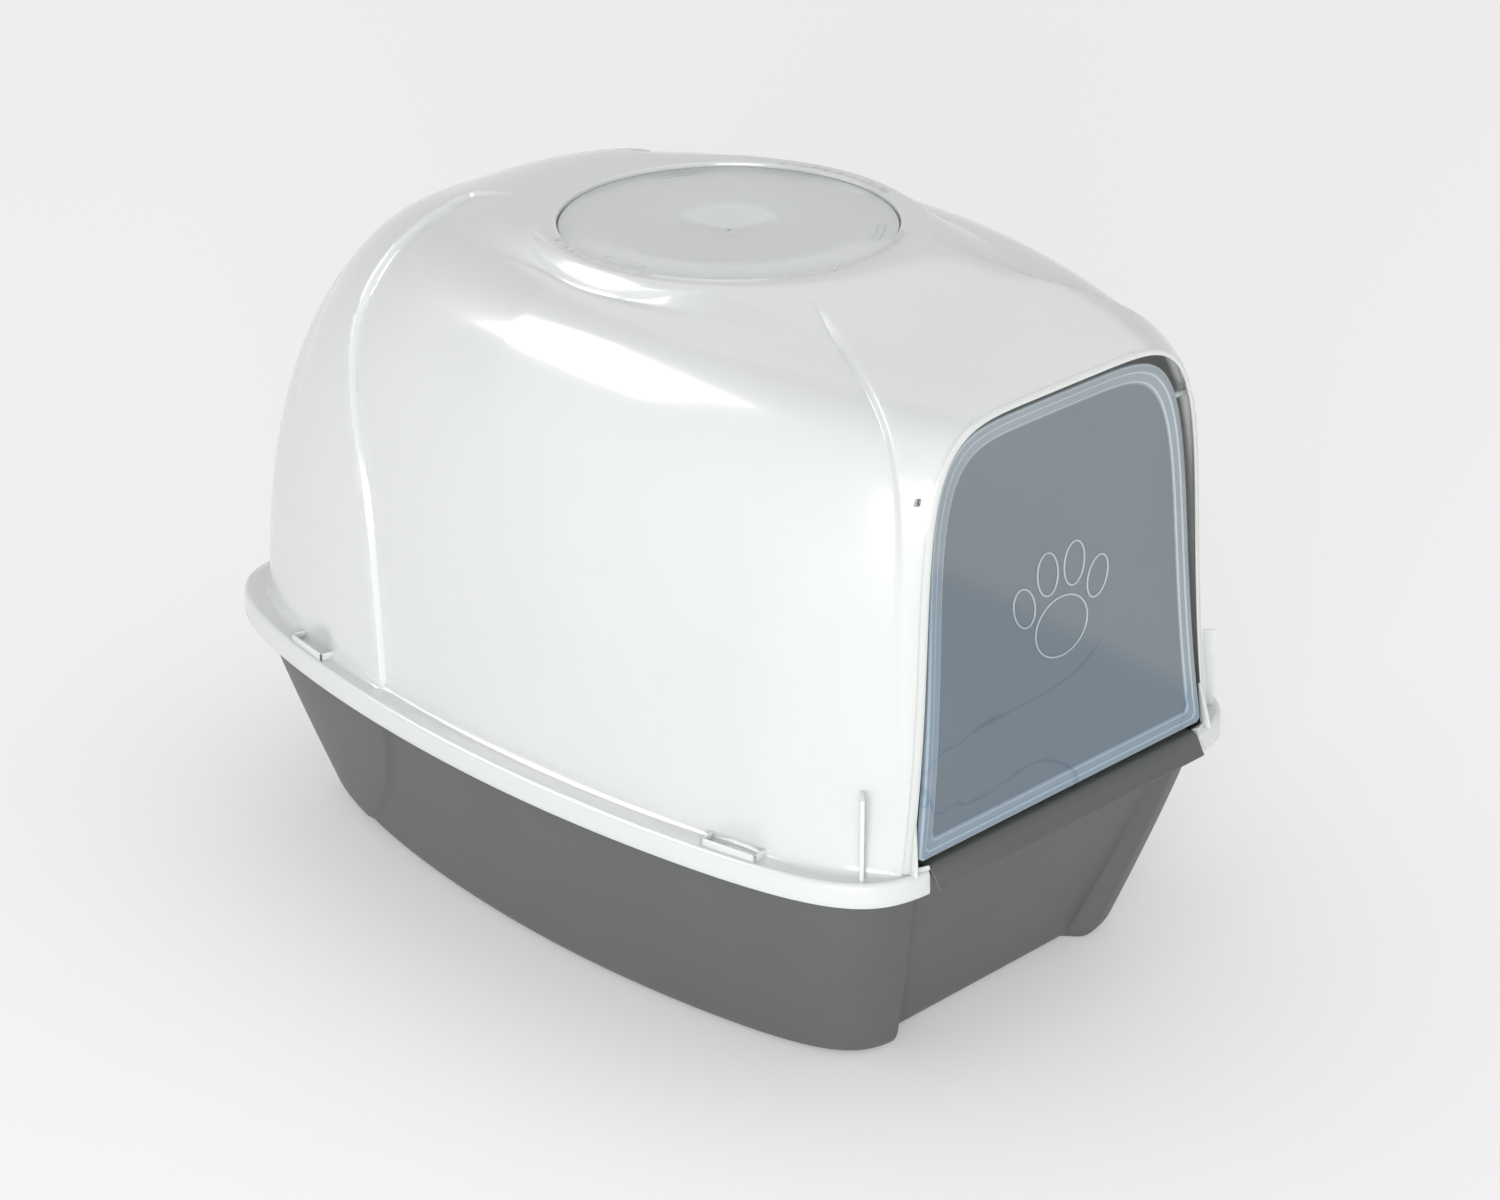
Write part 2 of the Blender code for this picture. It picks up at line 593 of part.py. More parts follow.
def tray_lip(group):
    """Rolled lip across the front of the tray, under the door."""
    wall_y = RIM_FRONT_Y + TRAY_RIM_INSET + TRAY_RIM_WIDTH + FRONT_PANEL_RECESS_TOP
    nose_y = RIM_FRONT_Y - LIP_REACH
    low = LIP_TOP - LIP_DROP
    inner_y = wall_y + TRAY_WALL + 0.0003
    section = [(inner_y, TRAY_TOP - 0.0060), (inner_y, LIP_TOP - 0.0012), (inner_y - 0.0012, LIP_TOP),
               (nose_y + 0.0085, LIP_TOP), (nose_y + 0.0028, LIP_TOP - 0.0042), (nose_y, low),
               (nose_y + LIP_WALL, low), (nose_y + LIP_WALL + 0.0018, LIP_TOP - 0.0058),
               (wall_y - 0.0006, TRAY_TOP - 0.0060)]
    builder = bmesh.new()
    face = builder.faces.new([builder.verts.new((-LIP_HALF_WIDTH, y, z)) for y, z in section])
    grown = bmesh.ops.extrude_face_region(builder, geom=[face])
    verts = [item for item in grown["geom"] if isinstance(item, bmesh.types.BMVert)]
    bmesh.ops.translate(builder, verts=verts, vec=(2.0 * LIP_HALF_WIDTH, 0.0, 0.0))
    return as_cutter(object_from(builder, "tray_lip_blank", group))


def build_tray(parts, cutters):
    tray = tray_walls(parts)
    boolean(tray, tray_lip(cutters), 'UNION')
    tray.data.materials.append(plain_material("tray_grey"))
    shade(tray)


# Door

def door_y(z):
    """Middle of the door's thickness at a height."""
    return AXIS_Y - math.tan(DOOR_LEAN) * (AXIS_Z - z)


def door_half_width(z, inset=0.0):
    """Half width of the door at a height: the hood's arch at its opening, moved in all round."""
    margin = HOOD_WALL + DOOR_GAP + inset
    y = opening_y(z)
    rise = z - RIM_TOP
    power = hood_power(y)
    share = max(1.0 - (rise / (hood_crown(y) - margin)) ** power, 0.0) ** (1.0 / power)
    return (hood_half_width(y, rise / HOOD_RISE) - margin) * share


def door_outline(inset):
    """Half outline of the door from its bottom corner up to its top, as points of width and height."""
    bottom = LIP_TOP + DOOR_SILL_GAP + inset
    crown = hood_crown(opening_y(AXIS_Z)) - HOOD_WALL - DOOR_GAP - inset
    first = door_half_width(bottom, inset)
    half = [(first - DOOR_CORNER, bottom), (first - 0.3 * DOOR_CORNER, bottom + 0.3 * DOOR_CORNER)]
    for step in range(1, DOOR_OUTLINE_STEPS):
        angle = math.pi / 2.0 * step / DOOR_OUTLINE_STEPS
        power = SECTION_POWER_DOOR
        reach = (math.cos(angle) ** power + math.sin(angle) ** power) ** (-1.0 / power)
        z = RIM_TOP + crown * reach * math.sin(angle)
        if z > bottom + DOOR_CORNER:
            half.append((door_half_width(z, inset), z))
    half.append((0.0, RIM_TOP + crown))
    return half


def door_plate(inset, thickness, name, group):
    """The door's outline at an inset, as a leaning plate of one thickness."""
    half = door_outline(inset)
    points = half + [(-x, z) for x, z in reversed(half[:-1])]
    builder = bmesh.new()
    face = builder.faces.new([builder.verts.new((x, door_y(z) - thickness / 2.0, z)) for x, z in points])
    grown = bmesh.ops.extrude_face_region(builder, geom=[face])
    verts = [item for item in grown["geom"] if isinstance(item, bmesh.types.BMVert)]
    bmesh.ops.translate(builder, verts=verts, vec=(0.0, thickness, 0.0))
    return object_from(builder, name, group, (0.0, AXIS_Y, AXIS_Z))


def door_pin(side, group):
    """Pin moulded on the door's edge, reaching through the hood's wall."""
    inner = door_half_width(AXIS_Z) - DOOR_BORDER
    outer = hood_side(AXIS_Y, AXIS_Z) + PIN_PAST_WALL
    builder = bmesh.new()
    place = Matrix.Translation((side * (inner + outer) / 2.0, AXIS_Y, AXIS_Z))
    place = place @ Matrix.Rotation(math.pi / 2.0, 4, 'Y')
    bmesh.ops.create_cone(builder, cap_ends=True, segments=20, radius1=PIN_RADIUS,
                          radius2=PIN_RADIUS, depth=outer - inner, matrix=place)
    name = "door_pin_left" if side < 0 else "door_pin_right"
    return as_cutter(object_from(builder, name, group))


def build_door(parts, cutters):
    door = door_plate(0.0, DOOR_BORDER_THICKNESS, "door_flap", parts)
    window = door_plate(DOOR_BORDER, DOOR_BORDER_THICKNESS * 3.0, "door_window_cut", cutters)
    panel = door_plate(DOOR_BORDER / 2.0, DOOR_THICKNESS, "door_panel_blank", cutters)
    boolean(door, as_cutter(window), 'DIFFERENCE')
    boolean(door, as_cutter(panel), 'UNION')
    for side in (-1, 1):
        boolean(door, door_pin(side, cutters), 'UNION')
    door.data.materials.append(plain_material("flap_smoke"))
    shade(door)


# Filter cover and pad

def build_cover(parts, cutters):
    """Turned disc with a round finger dimple, and straight snap legs below."""
    top = []
    bottom = []
    for step in range(DIMPLE_STEPS + 1):
        share = step / DIMPLE_STEPS
        sink = DIMPLE_DEPTH * (1.0 - share ** 2) ** 2
        top.append((DIMPLE_RADIUS * share, COVER_TOP - sink))
        bottom.append((DIMPLE_RADIUS * share, COVER_BOTTOM - sink))
    edge = [(COVER_RADIUS - 0.0006, COVER_TOP), (COVER_RADIUS, COVER_TOP - 0.0006),
            (COVER_RADIUS, COVER_BOTTOM)]
    builder = bmesh.new()
    verts = [builder.verts.new((radius, 0.0, z)) for radius, z in top + edge + bottom[::-1]]
    for first, second in zip(verts, verts[1:]):
        builder.edges.new((first, second))
    mesh = bpy.data.meshes.new("filter_cover")
    builder.to_mesh(mesh)
    builder.free()
    cover = bpy.data.objects.new("filter_cover", mesh)
    cover.location = (0.0, SEAT_CENTRE_Y, 0.0)
    parts.objects.link(cover)
    turn = cover.modifiers.new("turn", 'SCREW')
    turn.steps = SEAT_SEGMENTS
    turn.render_steps = SEAT_SEGMENTS
    turn.use_merge_vertices = True
    turn.merge_threshold = 0.00005
    for index in range(LEG_COUNT):
        height = LEG_DROP + COVER_THICKNESS / 2.0
        centre = leg_centre(index, COVER_BOTTOM - LEG_DROP + height / 2.0)
        leg = box((LEG_WALL, LEG_LENGTH, height), centre, leg_angle(index))
        boolean(cover, as_cutter(object_from(leg, f"cover_leg_{index}", cutters)), 'UNION')
    cover.data.materials.append(plain_material("cover_white"))


def build_pad(parts):
    low = BASKET_FLOOR + 0.0003
    pad = cylinder(PAD_RADIUS, low, low + PAD_THICKNESS, (0.0, SEAT_CENTRE_Y), SEAT_SEGMENTS, parts,
                   "carbon_filter")
    pad.data.materials.append(plain_material("carbon_black"))
    shade(pad)


def main():
    clear_scene()
    parts = new_collection("hooded_litter_box")
    cutters = new_collection("cutters")
    build_tray(parts, cutters)
    build_hood(parts, cutters)
    build_door(parts, cutters)
    build_cover(parts, cutters)
    build_pad(parts)


main()
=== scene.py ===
import math

import bmesh
import bpy
import numpy as np
from mathutils import Matrix, Vector


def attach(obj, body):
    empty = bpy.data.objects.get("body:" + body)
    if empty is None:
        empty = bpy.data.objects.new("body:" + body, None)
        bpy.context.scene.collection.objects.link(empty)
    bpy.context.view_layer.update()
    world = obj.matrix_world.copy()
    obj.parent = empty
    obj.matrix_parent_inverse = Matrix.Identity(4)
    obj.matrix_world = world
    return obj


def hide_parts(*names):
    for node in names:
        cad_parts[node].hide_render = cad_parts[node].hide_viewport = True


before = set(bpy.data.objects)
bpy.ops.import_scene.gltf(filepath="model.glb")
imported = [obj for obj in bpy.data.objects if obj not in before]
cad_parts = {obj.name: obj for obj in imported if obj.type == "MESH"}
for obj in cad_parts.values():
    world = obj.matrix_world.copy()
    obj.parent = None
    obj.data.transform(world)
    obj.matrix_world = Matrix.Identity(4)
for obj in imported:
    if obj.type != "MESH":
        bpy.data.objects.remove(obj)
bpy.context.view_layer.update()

bl_info = {
    "name": "Hooded litter box",
    "version": (1, 0, 0),
    "blender": (4, 5, 0),
    "location": "3D View > Sidebar > Litter Box",
    "description": "Builds the tray, hood, door flap, filter cover and pad of a hooded cat litter box",
    "category": "Add Mesh",
}

FLAT_ANGLE = 34.0                # edges turn sharp past this many degrees

# Sizes in metres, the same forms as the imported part's
LENGTH = 0.546
WIDTH = 0.3686
RIM_TOP = 0.1352
HOOD_RISE = 0.2545
PLAN_CENTRE_Y = -0.0024
BOW_CENTRE_Y = -0.0320
BOW_RADIUS = 0.946
LIP_REACH = 0.0040
RIM_HALF = WIDTH / 2
RIM_REAR_Y = LENGTH / 2
RIM_FRONT_Y = LIP_REACH - LENGTH / 2
RIM_POWERS = (9.9, 8.5)          # squareness of the rim's plan in front and behind

# Hood form
FLANGE_WIDTH = 0.0123
FLANGE_WIDTH_REAR = 0.0125
SKIRT_DROP = 0.0135
HOOD_WALL = 0.0024
HOOD_POWER = 7.0
HOOD_NOSE = 0.0058
OPENING_Y = RIM_FRONT_Y + 0.0070
OPENING_LEAN = math.radians(1.3)
CREST_Y = 0.0070
CREST_POWER = 3.6
BROW_START_Y = -0.0630
BROW_FALL = 0.60
SECTION_POWERS = (6.5, 2.6, 6.0)  # arch squareness at the middle, the rear and the door
SECTION_REAR_Y = 0.207
WALL_LEANS = (0.042, 0.147)
LIP_HALF = 0.1090                # the rim is open this far each side for the tray's lip
RIM_OPEN_DEPTH = 0.0218

# Side panels that lie lower than the rest of the hood
PANEL_CIRCLE = 0.1085            # radius of the raised zone around the filter cover
BAND_HALF = 0.0510               # half width of the raised band along the top
BAND_START_Y = -0.1200           # the band widens towards the door from here
BAND_FLARE = 0.53
BAND_ROUND = 0.0060
STEP_WIDTH = 0.0036
RAISED = 0.0019                  # the raised parts stand out, and the panels lie in, by this much
REAR_EDGE_FOOT_Y = 0.0895        # where the panels end behind, at the rim
REAR_EDGE_LEAN = 0.15
REAR_EDGE_BEND = 0.019

# Small parts of the hood
GUARDS = [(side, y) for side in (-1, 1) for y in (-0.180, 0.157)]
GUARD_HALF = 0.0172
GUARD_DEPTH = 0.0098
GUARD_HEIGHT = 0.0044
GUARD_THICKNESS = 0.0013
RIB_SIZE = (0.0022, 0.0110, 0.0470)
RIB_X = 0.1380
LIP_SECTION = [                  # how far out of the doorway's arch, and how far back, round the bead
    (-0.0018, 0.0006), (-0.0018, -0.0008), (-0.0012, -0.0014), (0.0002, -0.0016), (0.0009, -0.0011),
    (0.0012, -0.0002), (0.0010, 0.0008), (0.0005, 0.0020), (-0.0002, 0.0034), (-0.0010, 0.0040),
    (-0.0018, 0.0030)]
SKIRT_SECTION = [                # how far in from the rim's edge, and how far above the rim
    (0.0004, -SKIRT_DROP), (0.0001, -SKIRT_DROP + 0.0005), (0.0, -0.0100), (0.0001, -0.0055),
    (0.0003, -0.0026), (0.0007, -0.0013), (0.0013, -0.0005), (0.0020, -0.0001), (0.0026, 0.0),
    (0.0031, -0.0001), (0.0036, -0.0002), (0.0058, -0.0002), (0.0080, -0.0001)]
HOOD_COLUMNS = 336
HOOD_BANDS = ((0.020, 7), (0.10, 20), (0.70, 33), (0.98, 24), (1.12, 34))   # start angle and rows

# Filter seat
SEAT_Y = -0.0177
RING_TOP = 0.3957
WELL_RADIUS = 0.0926
COVER_RADIUS = 0.0920
COVER_TOP = 0.3938
COVER_THICKNESS = 0.0024
DIMPLE_RADIUS = 0.0295
DIMPLE_DEPTH = 0.0042
LEDGE_TOP = 0.3910
BASKET_FLOOR = 0.3795
BASKET_RADIUS = 0.0750
PAD_RADIUS = 0.0730
PAD_THICKNESS = 0.0070
LEG_RADIUS = 0.0845
LEG_ANGLES = [math.radians(63.3 + 120.0 * index) for index in range(3)]

# Door
AXIS_Y = -0.252711
AXIS_Z = 0.333
DOOR_GAP = 0.0034
DOOR_LEAN = math.radians(3.0)
DOOR_BOTTOM = 0.1395
PIN_RADIUS = 0.0017
PIN_SLOT = (0.020, 0.0030, 0.0042)
FLAP_CORNER = 0.0036
FLAP_MIDDLE_Z = 0.2500
FLAP_POINTS = 260
FLAP_SECTION = [                 # how far in, and how far back, from the pane's front to its back
    (0.0098, -0.0007), (0.0090, -0.0009), (0.0086, -0.0014), (0.0082, -0.0015), (0.0050, -0.0015),
    (0.0046, -0.0017), (0.0042, -0.0021), (0.0037, -0.0021), (0.0010, -0.0021), (0.0004, -0.0018),
    (0.0000, -0.0011), (0.0000, 0.0012), (0.0004, 0.0018), (0.0010, 0.0020), (0.0084, 0.0020),
    (0.0092, 0.0015), (0.0096, 0.0007)]
FLAP_FINISHES = [1, 2, 2, 1, 1, 2, 2, 1, 2, 2, 2, 2, 2, 1, 1, 1]   # 1 thick border, 2 frosted lines
PAW_OVALS = (                    # middle, radii and tilt of the outlines on the door
    ((0.0, 0.2330), (0.0205, 0.0165), 0.0), ((-0.0290, 0.2520), (0.0078, 0.0115), 0.35),
    ((-0.0105, 0.2650), (0.0080, 0.0120), 0.10), ((0.0105, 0.2650), (0.0080, 0.0120), -0.10),
    ((0.0290, 0.2520), (0.0078, 0.0115), -0.35))

# Tray
TRAY_TOP = 0.1324
TRAY_WALL = 0.0025
TRAY_NARROWER = 0.0400
TRAY_FRONT_IN = 0.0390
TRAY_REAR_IN = 0.0300
TRAY_BOW_RADIUS = 0.760
TRAY_POWERS = (10.0, 8.3)
TRAY_DRAFT_POWER = 1.15
TRAY_FOOT = 0.0125
PANEL_HALF = (0.0750, 0.1060)    # half width of the recessed front panel at the floor and at the top
PANEL_RECESS = (0.0110, 0.0040)
PANEL_BLEND = 0.0120
TRAY_RAISED = 0.0034             # the tray's rear part stands this far out
TRAY_COLUMNS = 560
LIP_TOP = 0.1360
ROLLED_LIP_HALF = 0.1073
LIP_TIP = 0.0120                 # the rolled lip's lower edge hangs this far below its top


# Small helpers

def smooth(value):
    value = np.clip(value, 0.0, 1.0)
    return value * value * (3.0 - 2.0 * value)


def soft_min(first, second, size):
    """The smaller of two distances, with a round where they meet."""
    share = np.clip(0.5 + 0.5 * (second - first) / size, 0.0, 1.0)
    return second * (1.0 - share) + first * share - size * share * (1.0 - share)


def soft_max(first, second, size):
    return -soft_min(-first, -second, size)


def mesh_object(builder, name, group):
    mesh = bpy.data.meshes.new(name)
    builder.to_mesh(mesh)
    builder.free()
    thing = bpy.data.objects.new(name, mesh)
    group.objects.link(thing)
    return thing


def shade(piece, flat_angle):
    piece.data.shade_smooth()
    piece.data.set_sharp_from_angle(angle=math.radians(flat_angle))


def finished(builder, name, body, paint, group, flat_angle=FLAT_ANGLE):
    """A piece with its place in its mesh, shaded smooth, that rides on one body of the frame."""
    piece = mesh_object(builder, name, group)
    shade(piece, flat_angle)
    piece.data.materials.append(paint)
    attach(piece, body)
    return piece


def collection(name):
    found = bpy.data.collections.get(name)
    if found is None:
        found = bpy.data.collections.new(name)
        bpy.context.scene.collection.children.link(found)
    return found


def woven_tube(rows, finishes=None):
    """A tube through rows of points that all have the same count: a grid moved onto them and welded."""
    count = len(rows[0])
    builder = bmesh.new()
    bmesh.ops.create_grid(builder, x_segments=count, y_segments=len(rows) - 1, size=1.0)
    if finishes is not None:
        for face in builder.faces:
            band = (face.calc_center_median().y + 1.0) / 2.0 * (len(rows) - 1)
            face.material_index = finishes[int(band)]
    for vert in builder.verts:
        column = round((vert.co.x + 1.0) / 2.0 * count) % count
        row = round((vert.co.y + 1.0) / 2.0 * (len(rows) - 1))
        vert.co = rows[row][column]
    bmesh.ops.remove_doubles(builder, verts=builder.verts, dist=1e-7)
    return builder


def cap_ends(builder):
    loose = [edge for edge in builder.edges if edge.is_boundary]
    filled = bmesh.ops.holes_fill(builder, edges=loose, sides=0)
    for face in filled["faces"]:
        face.material_index = 0


def outward(builder, centre):
    """Turns every face of an open shell away from a point inside it."""
    bmesh.ops.recalc_face_normals(builder, faces=builder.faces)
    builder.faces.ensure_lookup_table()
    votes = 0
    for face in builder.faces:
        votes += 1 if face.normal.dot(face.calc_center_median() - centre) > 0.0 else -1
    if votes < 0:
        bmesh.ops.reverse_faces(builder, faces=builder.faces)


def join_into(builder, other):
    """Adds another bmesh's geometry to the first."""
    mesh = bpy.data.meshes.new("part")
    other.to_mesh(mesh)
    other.free()
    builder.from_mesh(mesh)
    bpy.data.meshes.remove(mesh)


def rounded(builder, edges, offset, segments):
    bmesh.ops.bevel(builder, geom=edges, offset=offset, segments=segments, profile=0.5,
                    affect='EDGES', material=-1)


def block(size, centre, turn=None, bevel=0.0):
    builder = bmesh.new()
    place = Matrix.Translation(centre) @ (turn or Matrix.Identity(4)) @ Matrix.Diagonal((*size, 1.0))
    bmesh.ops.create_cube(builder, size=1.0, matrix=place)
    if bevel:
        rounded(builder, builder.edges[:], bevel, 3)
    return builder


def in_order(builder):
    """Sorts a mesh by place, because a spin's weld leaves it in another order each run."""
    def middle(part):
        return sum((vert.co for vert in part.verts), Vector()) / len(part.verts)

    places = ((builder.verts, lambda vert: vert.co), (builder.edges, middle), (builder.faces, middle))
    for parts, place in places:
        ranked = sorted(parts, key=lambda part: tuple(round(value * 1e6) for value in place(part)))
        ranks = {part: rank for rank, part in enumerate(ranked)}
        parts.sort(key=ranks.get)
        parts.index_update()


def turned(profile, centre, steps):
    """A closed body of revolution about an upright axis, from a profile that starts and ends on the axis."""
    builder = bmesh.new()
    verts = [builder.verts.new((radius, 0.0, z)) for radius, z in profile]
    edges = [builder.edges.new(pair) for pair in zip(verts, verts[1:])]
    bmesh.ops.spin(builder, geom=verts + edges, cent=(0.0, 0.0, 0.0), axis=(0.0, 0.0, 1.0), steps=steps,
                   angle=2.0 * math.pi, use_merge=True)
    bmesh.ops.remove_doubles(builder, verts=builder.verts, dist=1e-6)
    bmesh.ops.recalc_face_normals(builder, faces=builder.faces)
    bmesh.ops.translate(builder, verts=builder.verts, vec=centre)
    in_order(builder)
    return builder


def cut(piece, cutters):
    """Takes cutters out of a piece for good, and removes them."""
    for tool in cutters:
        modifier = piece.modifiers.new("cut", 'BOOLEAN')
        modifier.operation = 'DIFFERENCE'
        modifier.solver = 'EXACT'
        modifier.object = tool
    bpy.context.view_layer.update()
    depsgraph = bpy.context.evaluated_depsgraph_get()
    mesh = bpy.data.meshes.new_from_object(piece.evaluated_get(depsgraph))
    piece.modifiers.clear()
    piece.data = mesh
    for tool in cutters:
        bpy.data.objects.remove(tool)


def cutter(builder, name):
    return mesh_object(builder, name, bpy.context.scene.collection)


# Form of the hood

def bowed(y, half, radius=BOW_RADIUS):
    return half - (y - BOW_CENTRE_Y) ** 2 / (2.0 * radius)


def hood_half(y, up):
    rear = RIM_REAR_Y - FLANGE_WIDTH_REAR
    front = RIM_FRONT_Y - HOOD_NOSE
    end = np.where(y > PLAN_CENTRE_Y, rear, front)
    ratio = np.abs((y - PLAN_CENTRE_Y) / (end - PLAN_CENTRE_Y))
    corner = np.maximum(1.0 - ratio ** HOOD_POWER, 0.0) ** (1.0 / HOOD_POWER)
    towards_door = np.clip(y / (OPENING_Y - PLAN_CENTRE_Y), 0.0, 1.1)
    lean = WALL_LEANS[0] + (WALL_LEANS[1] - WALL_LEANS[0]) * towards_door ** 2
    return bowed(y, RIM_HALF - FLANGE_WIDTH) * corner * (1.0 - lean * (1.0 - (1.0 - up) ** 3))


def hood_crown(y):
    rear = RIM_REAR_Y - FLANGE_WIDTH_REAR
    share = np.clip((y - CREST_Y) / (rear - CREST_Y), 0.0, 1.0)
    back = HOOD_RISE * np.maximum(1.0 - share ** CREST_POWER, 0.0) ** (1.0 / CREST_POWER)
    brow = HOOD_RISE - BROW_FALL * np.maximum(BROW_START_Y - y, 0.0) ** 2
    return np.where(y > CREST_Y, back, brow)


def hood_power(y):
    middle, rear, door = SECTION_POWERS
    behind = middle + (rear - middle) * np.clip(y / SECTION_REAR_Y, 0.0, 1.0)
    before = middle + (door - middle) * np.clip(y / OPENING_Y, 0.0, 1.0)
    return np.where(y > 0.0, behind, before)


def hood_level(points):
    """Under 1 inside the hood's plain form and over 1 outside it."""
    x, y, z = points
    rise = np.maximum(z - RIM_TOP, 0.0)
    width = np.maximum(hood_half(y, np.clip(rise / HOOD_RISE, 0.0, 1.0)), 1e-9)
    crown = np.maximum(hood_crown(y), 1e-9)
    power = hood_power(y)
    return (np.abs(x) / width) ** power + (rise / crown) ** power


def reach(level, centre, direction, furthest=0.6):
    """Distance from a point inside a form to its surface, along each direction."""
    near = np.zeros(direction.shape[1])
    far = np.full(direction.shape[1], furthest)
    for _ in range(38):
        middle = (near + far) / 2.0
        outside = level(centre[:, None] + direction * middle) > 1.0
        far = np.where(outside, middle, far)
        near = np.where(outside, near, middle)
    return near


def level_normal(level, points):
    step = 2e-5
    slopes = []
    for axis in range(3):
        shift = np.zeros((3, 1))
        shift[axis] = step
        slopes.append(level(points + shift) - level(points - shift))
    normal = np.array(slopes)
    return normal / np.maximum(np.linalg.norm(normal, axis=0), 1e-12)


def opening_y(z):
    """Where the doorway's leaning plane is, at a height."""
    return OPENING_Y + math.tan(OPENING_LEAN) * (z - RIM_TOP)


def rear_edge_y(z):
    """Where the side panel ends towards the back, at a height."""
    bend = REAR_EDGE_BEND * smooth((z - 0.225) / 0.110) - 0.25 * np.maximum(z - 0.335, 0.0)
    return REAR_EDGE_FOOT_Y + REAR_EDGE_LEAN * (z - RIM_TOP) + bend


def panel_depth(points):
    """0 on the raised parts of the hood, 1 on its side panels."""
    x, y, z = points
    behind = (rear_edge_y(z) - y) * 0.97
    around = np.hypot(x, y - SEAT_Y) - PANEL_CIRCLE
    ahead = np.maximum(BAND_START_Y - y, 0.0) * BAND_FLARE
    band = BAND_HALF + np.sqrt(ahead ** 2 + BAND_ROUND ** 2) - BAND_ROUND
    beside = (np.abs(x) - band) * 0.9
    inner = soft_min(around, beside, 0.022)
    distance = soft_min(behind, inner, 0.006)
    fade = smooth((0.372 - z) / 0.110)
    towards_door = smooth((-0.150 - y) / 0.050)
    return smooth(distance / STEP_WIDTH + 0.5) * (1.0 - fade * towards_door * 0.9)


def hood_relief(points):
    """How far the finished surface stands out from the plain form."""
    x, y, z = points
    relief = RAISED - 2.0 * RAISED * panel_depth(points)
    relief *= smooth((z - RIM_TOP) / 0.006)
    strip_edge = opening_y(z) + 0.003 + 0.047 * (z - RIM_TOP)
    strip = smooth((strip_edge - y) / 0.0012 + 0.5) * smooth((AXIS_Z - 0.0045 - z) / 0.0022 + 0.5)
    relief += 0.0006 * strip
    for side, place in GUARDS:
        along = (y - place) / 0.0135
        up = (z - RIM_TOP - 0.004) / 0.011
        here = np.where(x * side > 0.05, 1.0, 0.0)
        relief -= 0.0022 * here * np.exp(-along ** 4 - up ** 2)
    return relief


def seat_pedestal(points):
    """Lifts the raised zone around the filter cover to one flat level."""
    x, y, z = points
    away = np.hypot(x, y - SEAT_Y)
    run = 0.007 + 0.085 * (np.abs(y - SEAT_Y) / np.maximum(away, 1e-6)) ** 3
    share = 1.0 - smooth((away - 0.1015) / run)
    return share * np.maximum(RING_TOP - z, 0.0)


def hood_points(theta, phi):
    """Finished outside of the hood in the given directions from the middle of its floor."""
    centre = np.array((0.0, SEAT_Y, RIM_TOP))
    direction = np.array((np.cos(theta) * np.cos(phi), np.sin(theta) * np.cos(phi), np.sin(phi)))
    points = centre[:, None] + direction * reach(hood_level, centre, direction)
    points = points + level_normal(hood_level, points) * hood_relief(points)
    points[2] += seat_pedestal(points)
    return points


def even_angles(path, weight, count):
    """Angles around a row, closer together where a weight says that the surface turns."""
    theta = np.linspace(0.0, 2.0 * math.pi, 2881) + math.pi / 2.0
    points = path(theta)
    cost = np.linalg.norm(np.diff(points, axis=1), axis=0)
    if weight is not None:
        cost = cost + np.abs(np.diff(weight(points)))
    total = np.concatenate(((0.0,), np.cumsum(cost)))
    return np.interp(np.arange(count) * total[-1] / count, total, theta)


def plan_level(half, front, rear, powers, bow=BOW_RADIUS, panel=None):
    """Level of a plan outline with bowed sides, and optionally a recessed front panel."""
    def level(points):
        x, y = points[0], points[1]
        moved = y
        if panel is not None:
            panel_half, recess = panel
            share = smooth((panel_half + 0.5 * PANEL_BLEND - np.abs(x)) / PANEL_BLEND)
            moved = np.where(y < PLAN_CENTRE_Y, y - recess * share, y)
        end = np.where(y > PLAN_CENTRE_Y, rear, front)
        power = np.where(y > PLAN_CENTRE_Y, powers[1], powers[0])
        width = np.maximum(bowed(np.clip(y, -0.30, 0.30), half, bow), 1e-6)
        lengthwise = np.abs((moved - PLAN_CENTRE_Y) / (end - PLAN_CENTRE_Y))
        return (np.abs(x) / width) ** power + lengthwise ** power
    return level


def plan_row(level, theta, z):
    centre = np.array((0.0, SEAT_Y, z))
    direction = np.array((np.cos(theta), np.sin(theta), np.zeros_like(theta)))
    return centre[:, None] + direction * reach(level, centre, direction)


def rim_row(inset, z, theta, front_inset=None):
    front = inset if front_inset is None else front_inset
    level = plan_level(RIM_HALF - inset, RIM_FRONT_Y + front, RIM_REAR_Y - inset, RIM_POWERS)
    return plan_row(level, theta, z)


# Hood

def hood_row_angles():
    """Heights of the hood's rows, as angles seen from the middle of its floor."""
    bands = []
    for (start, count), (end, _) in zip(HOOD_BANDS, HOOD_BANDS[1:]):
        bands.append(np.linspace(start, end, count, endpoint=False))
    start, count = HOOD_BANDS[-1]
    bands.append(np.linspace(start, math.atan((RING_TOP - RIM_TOP) / 0.0990), count))
    return np.concatenate(bands)


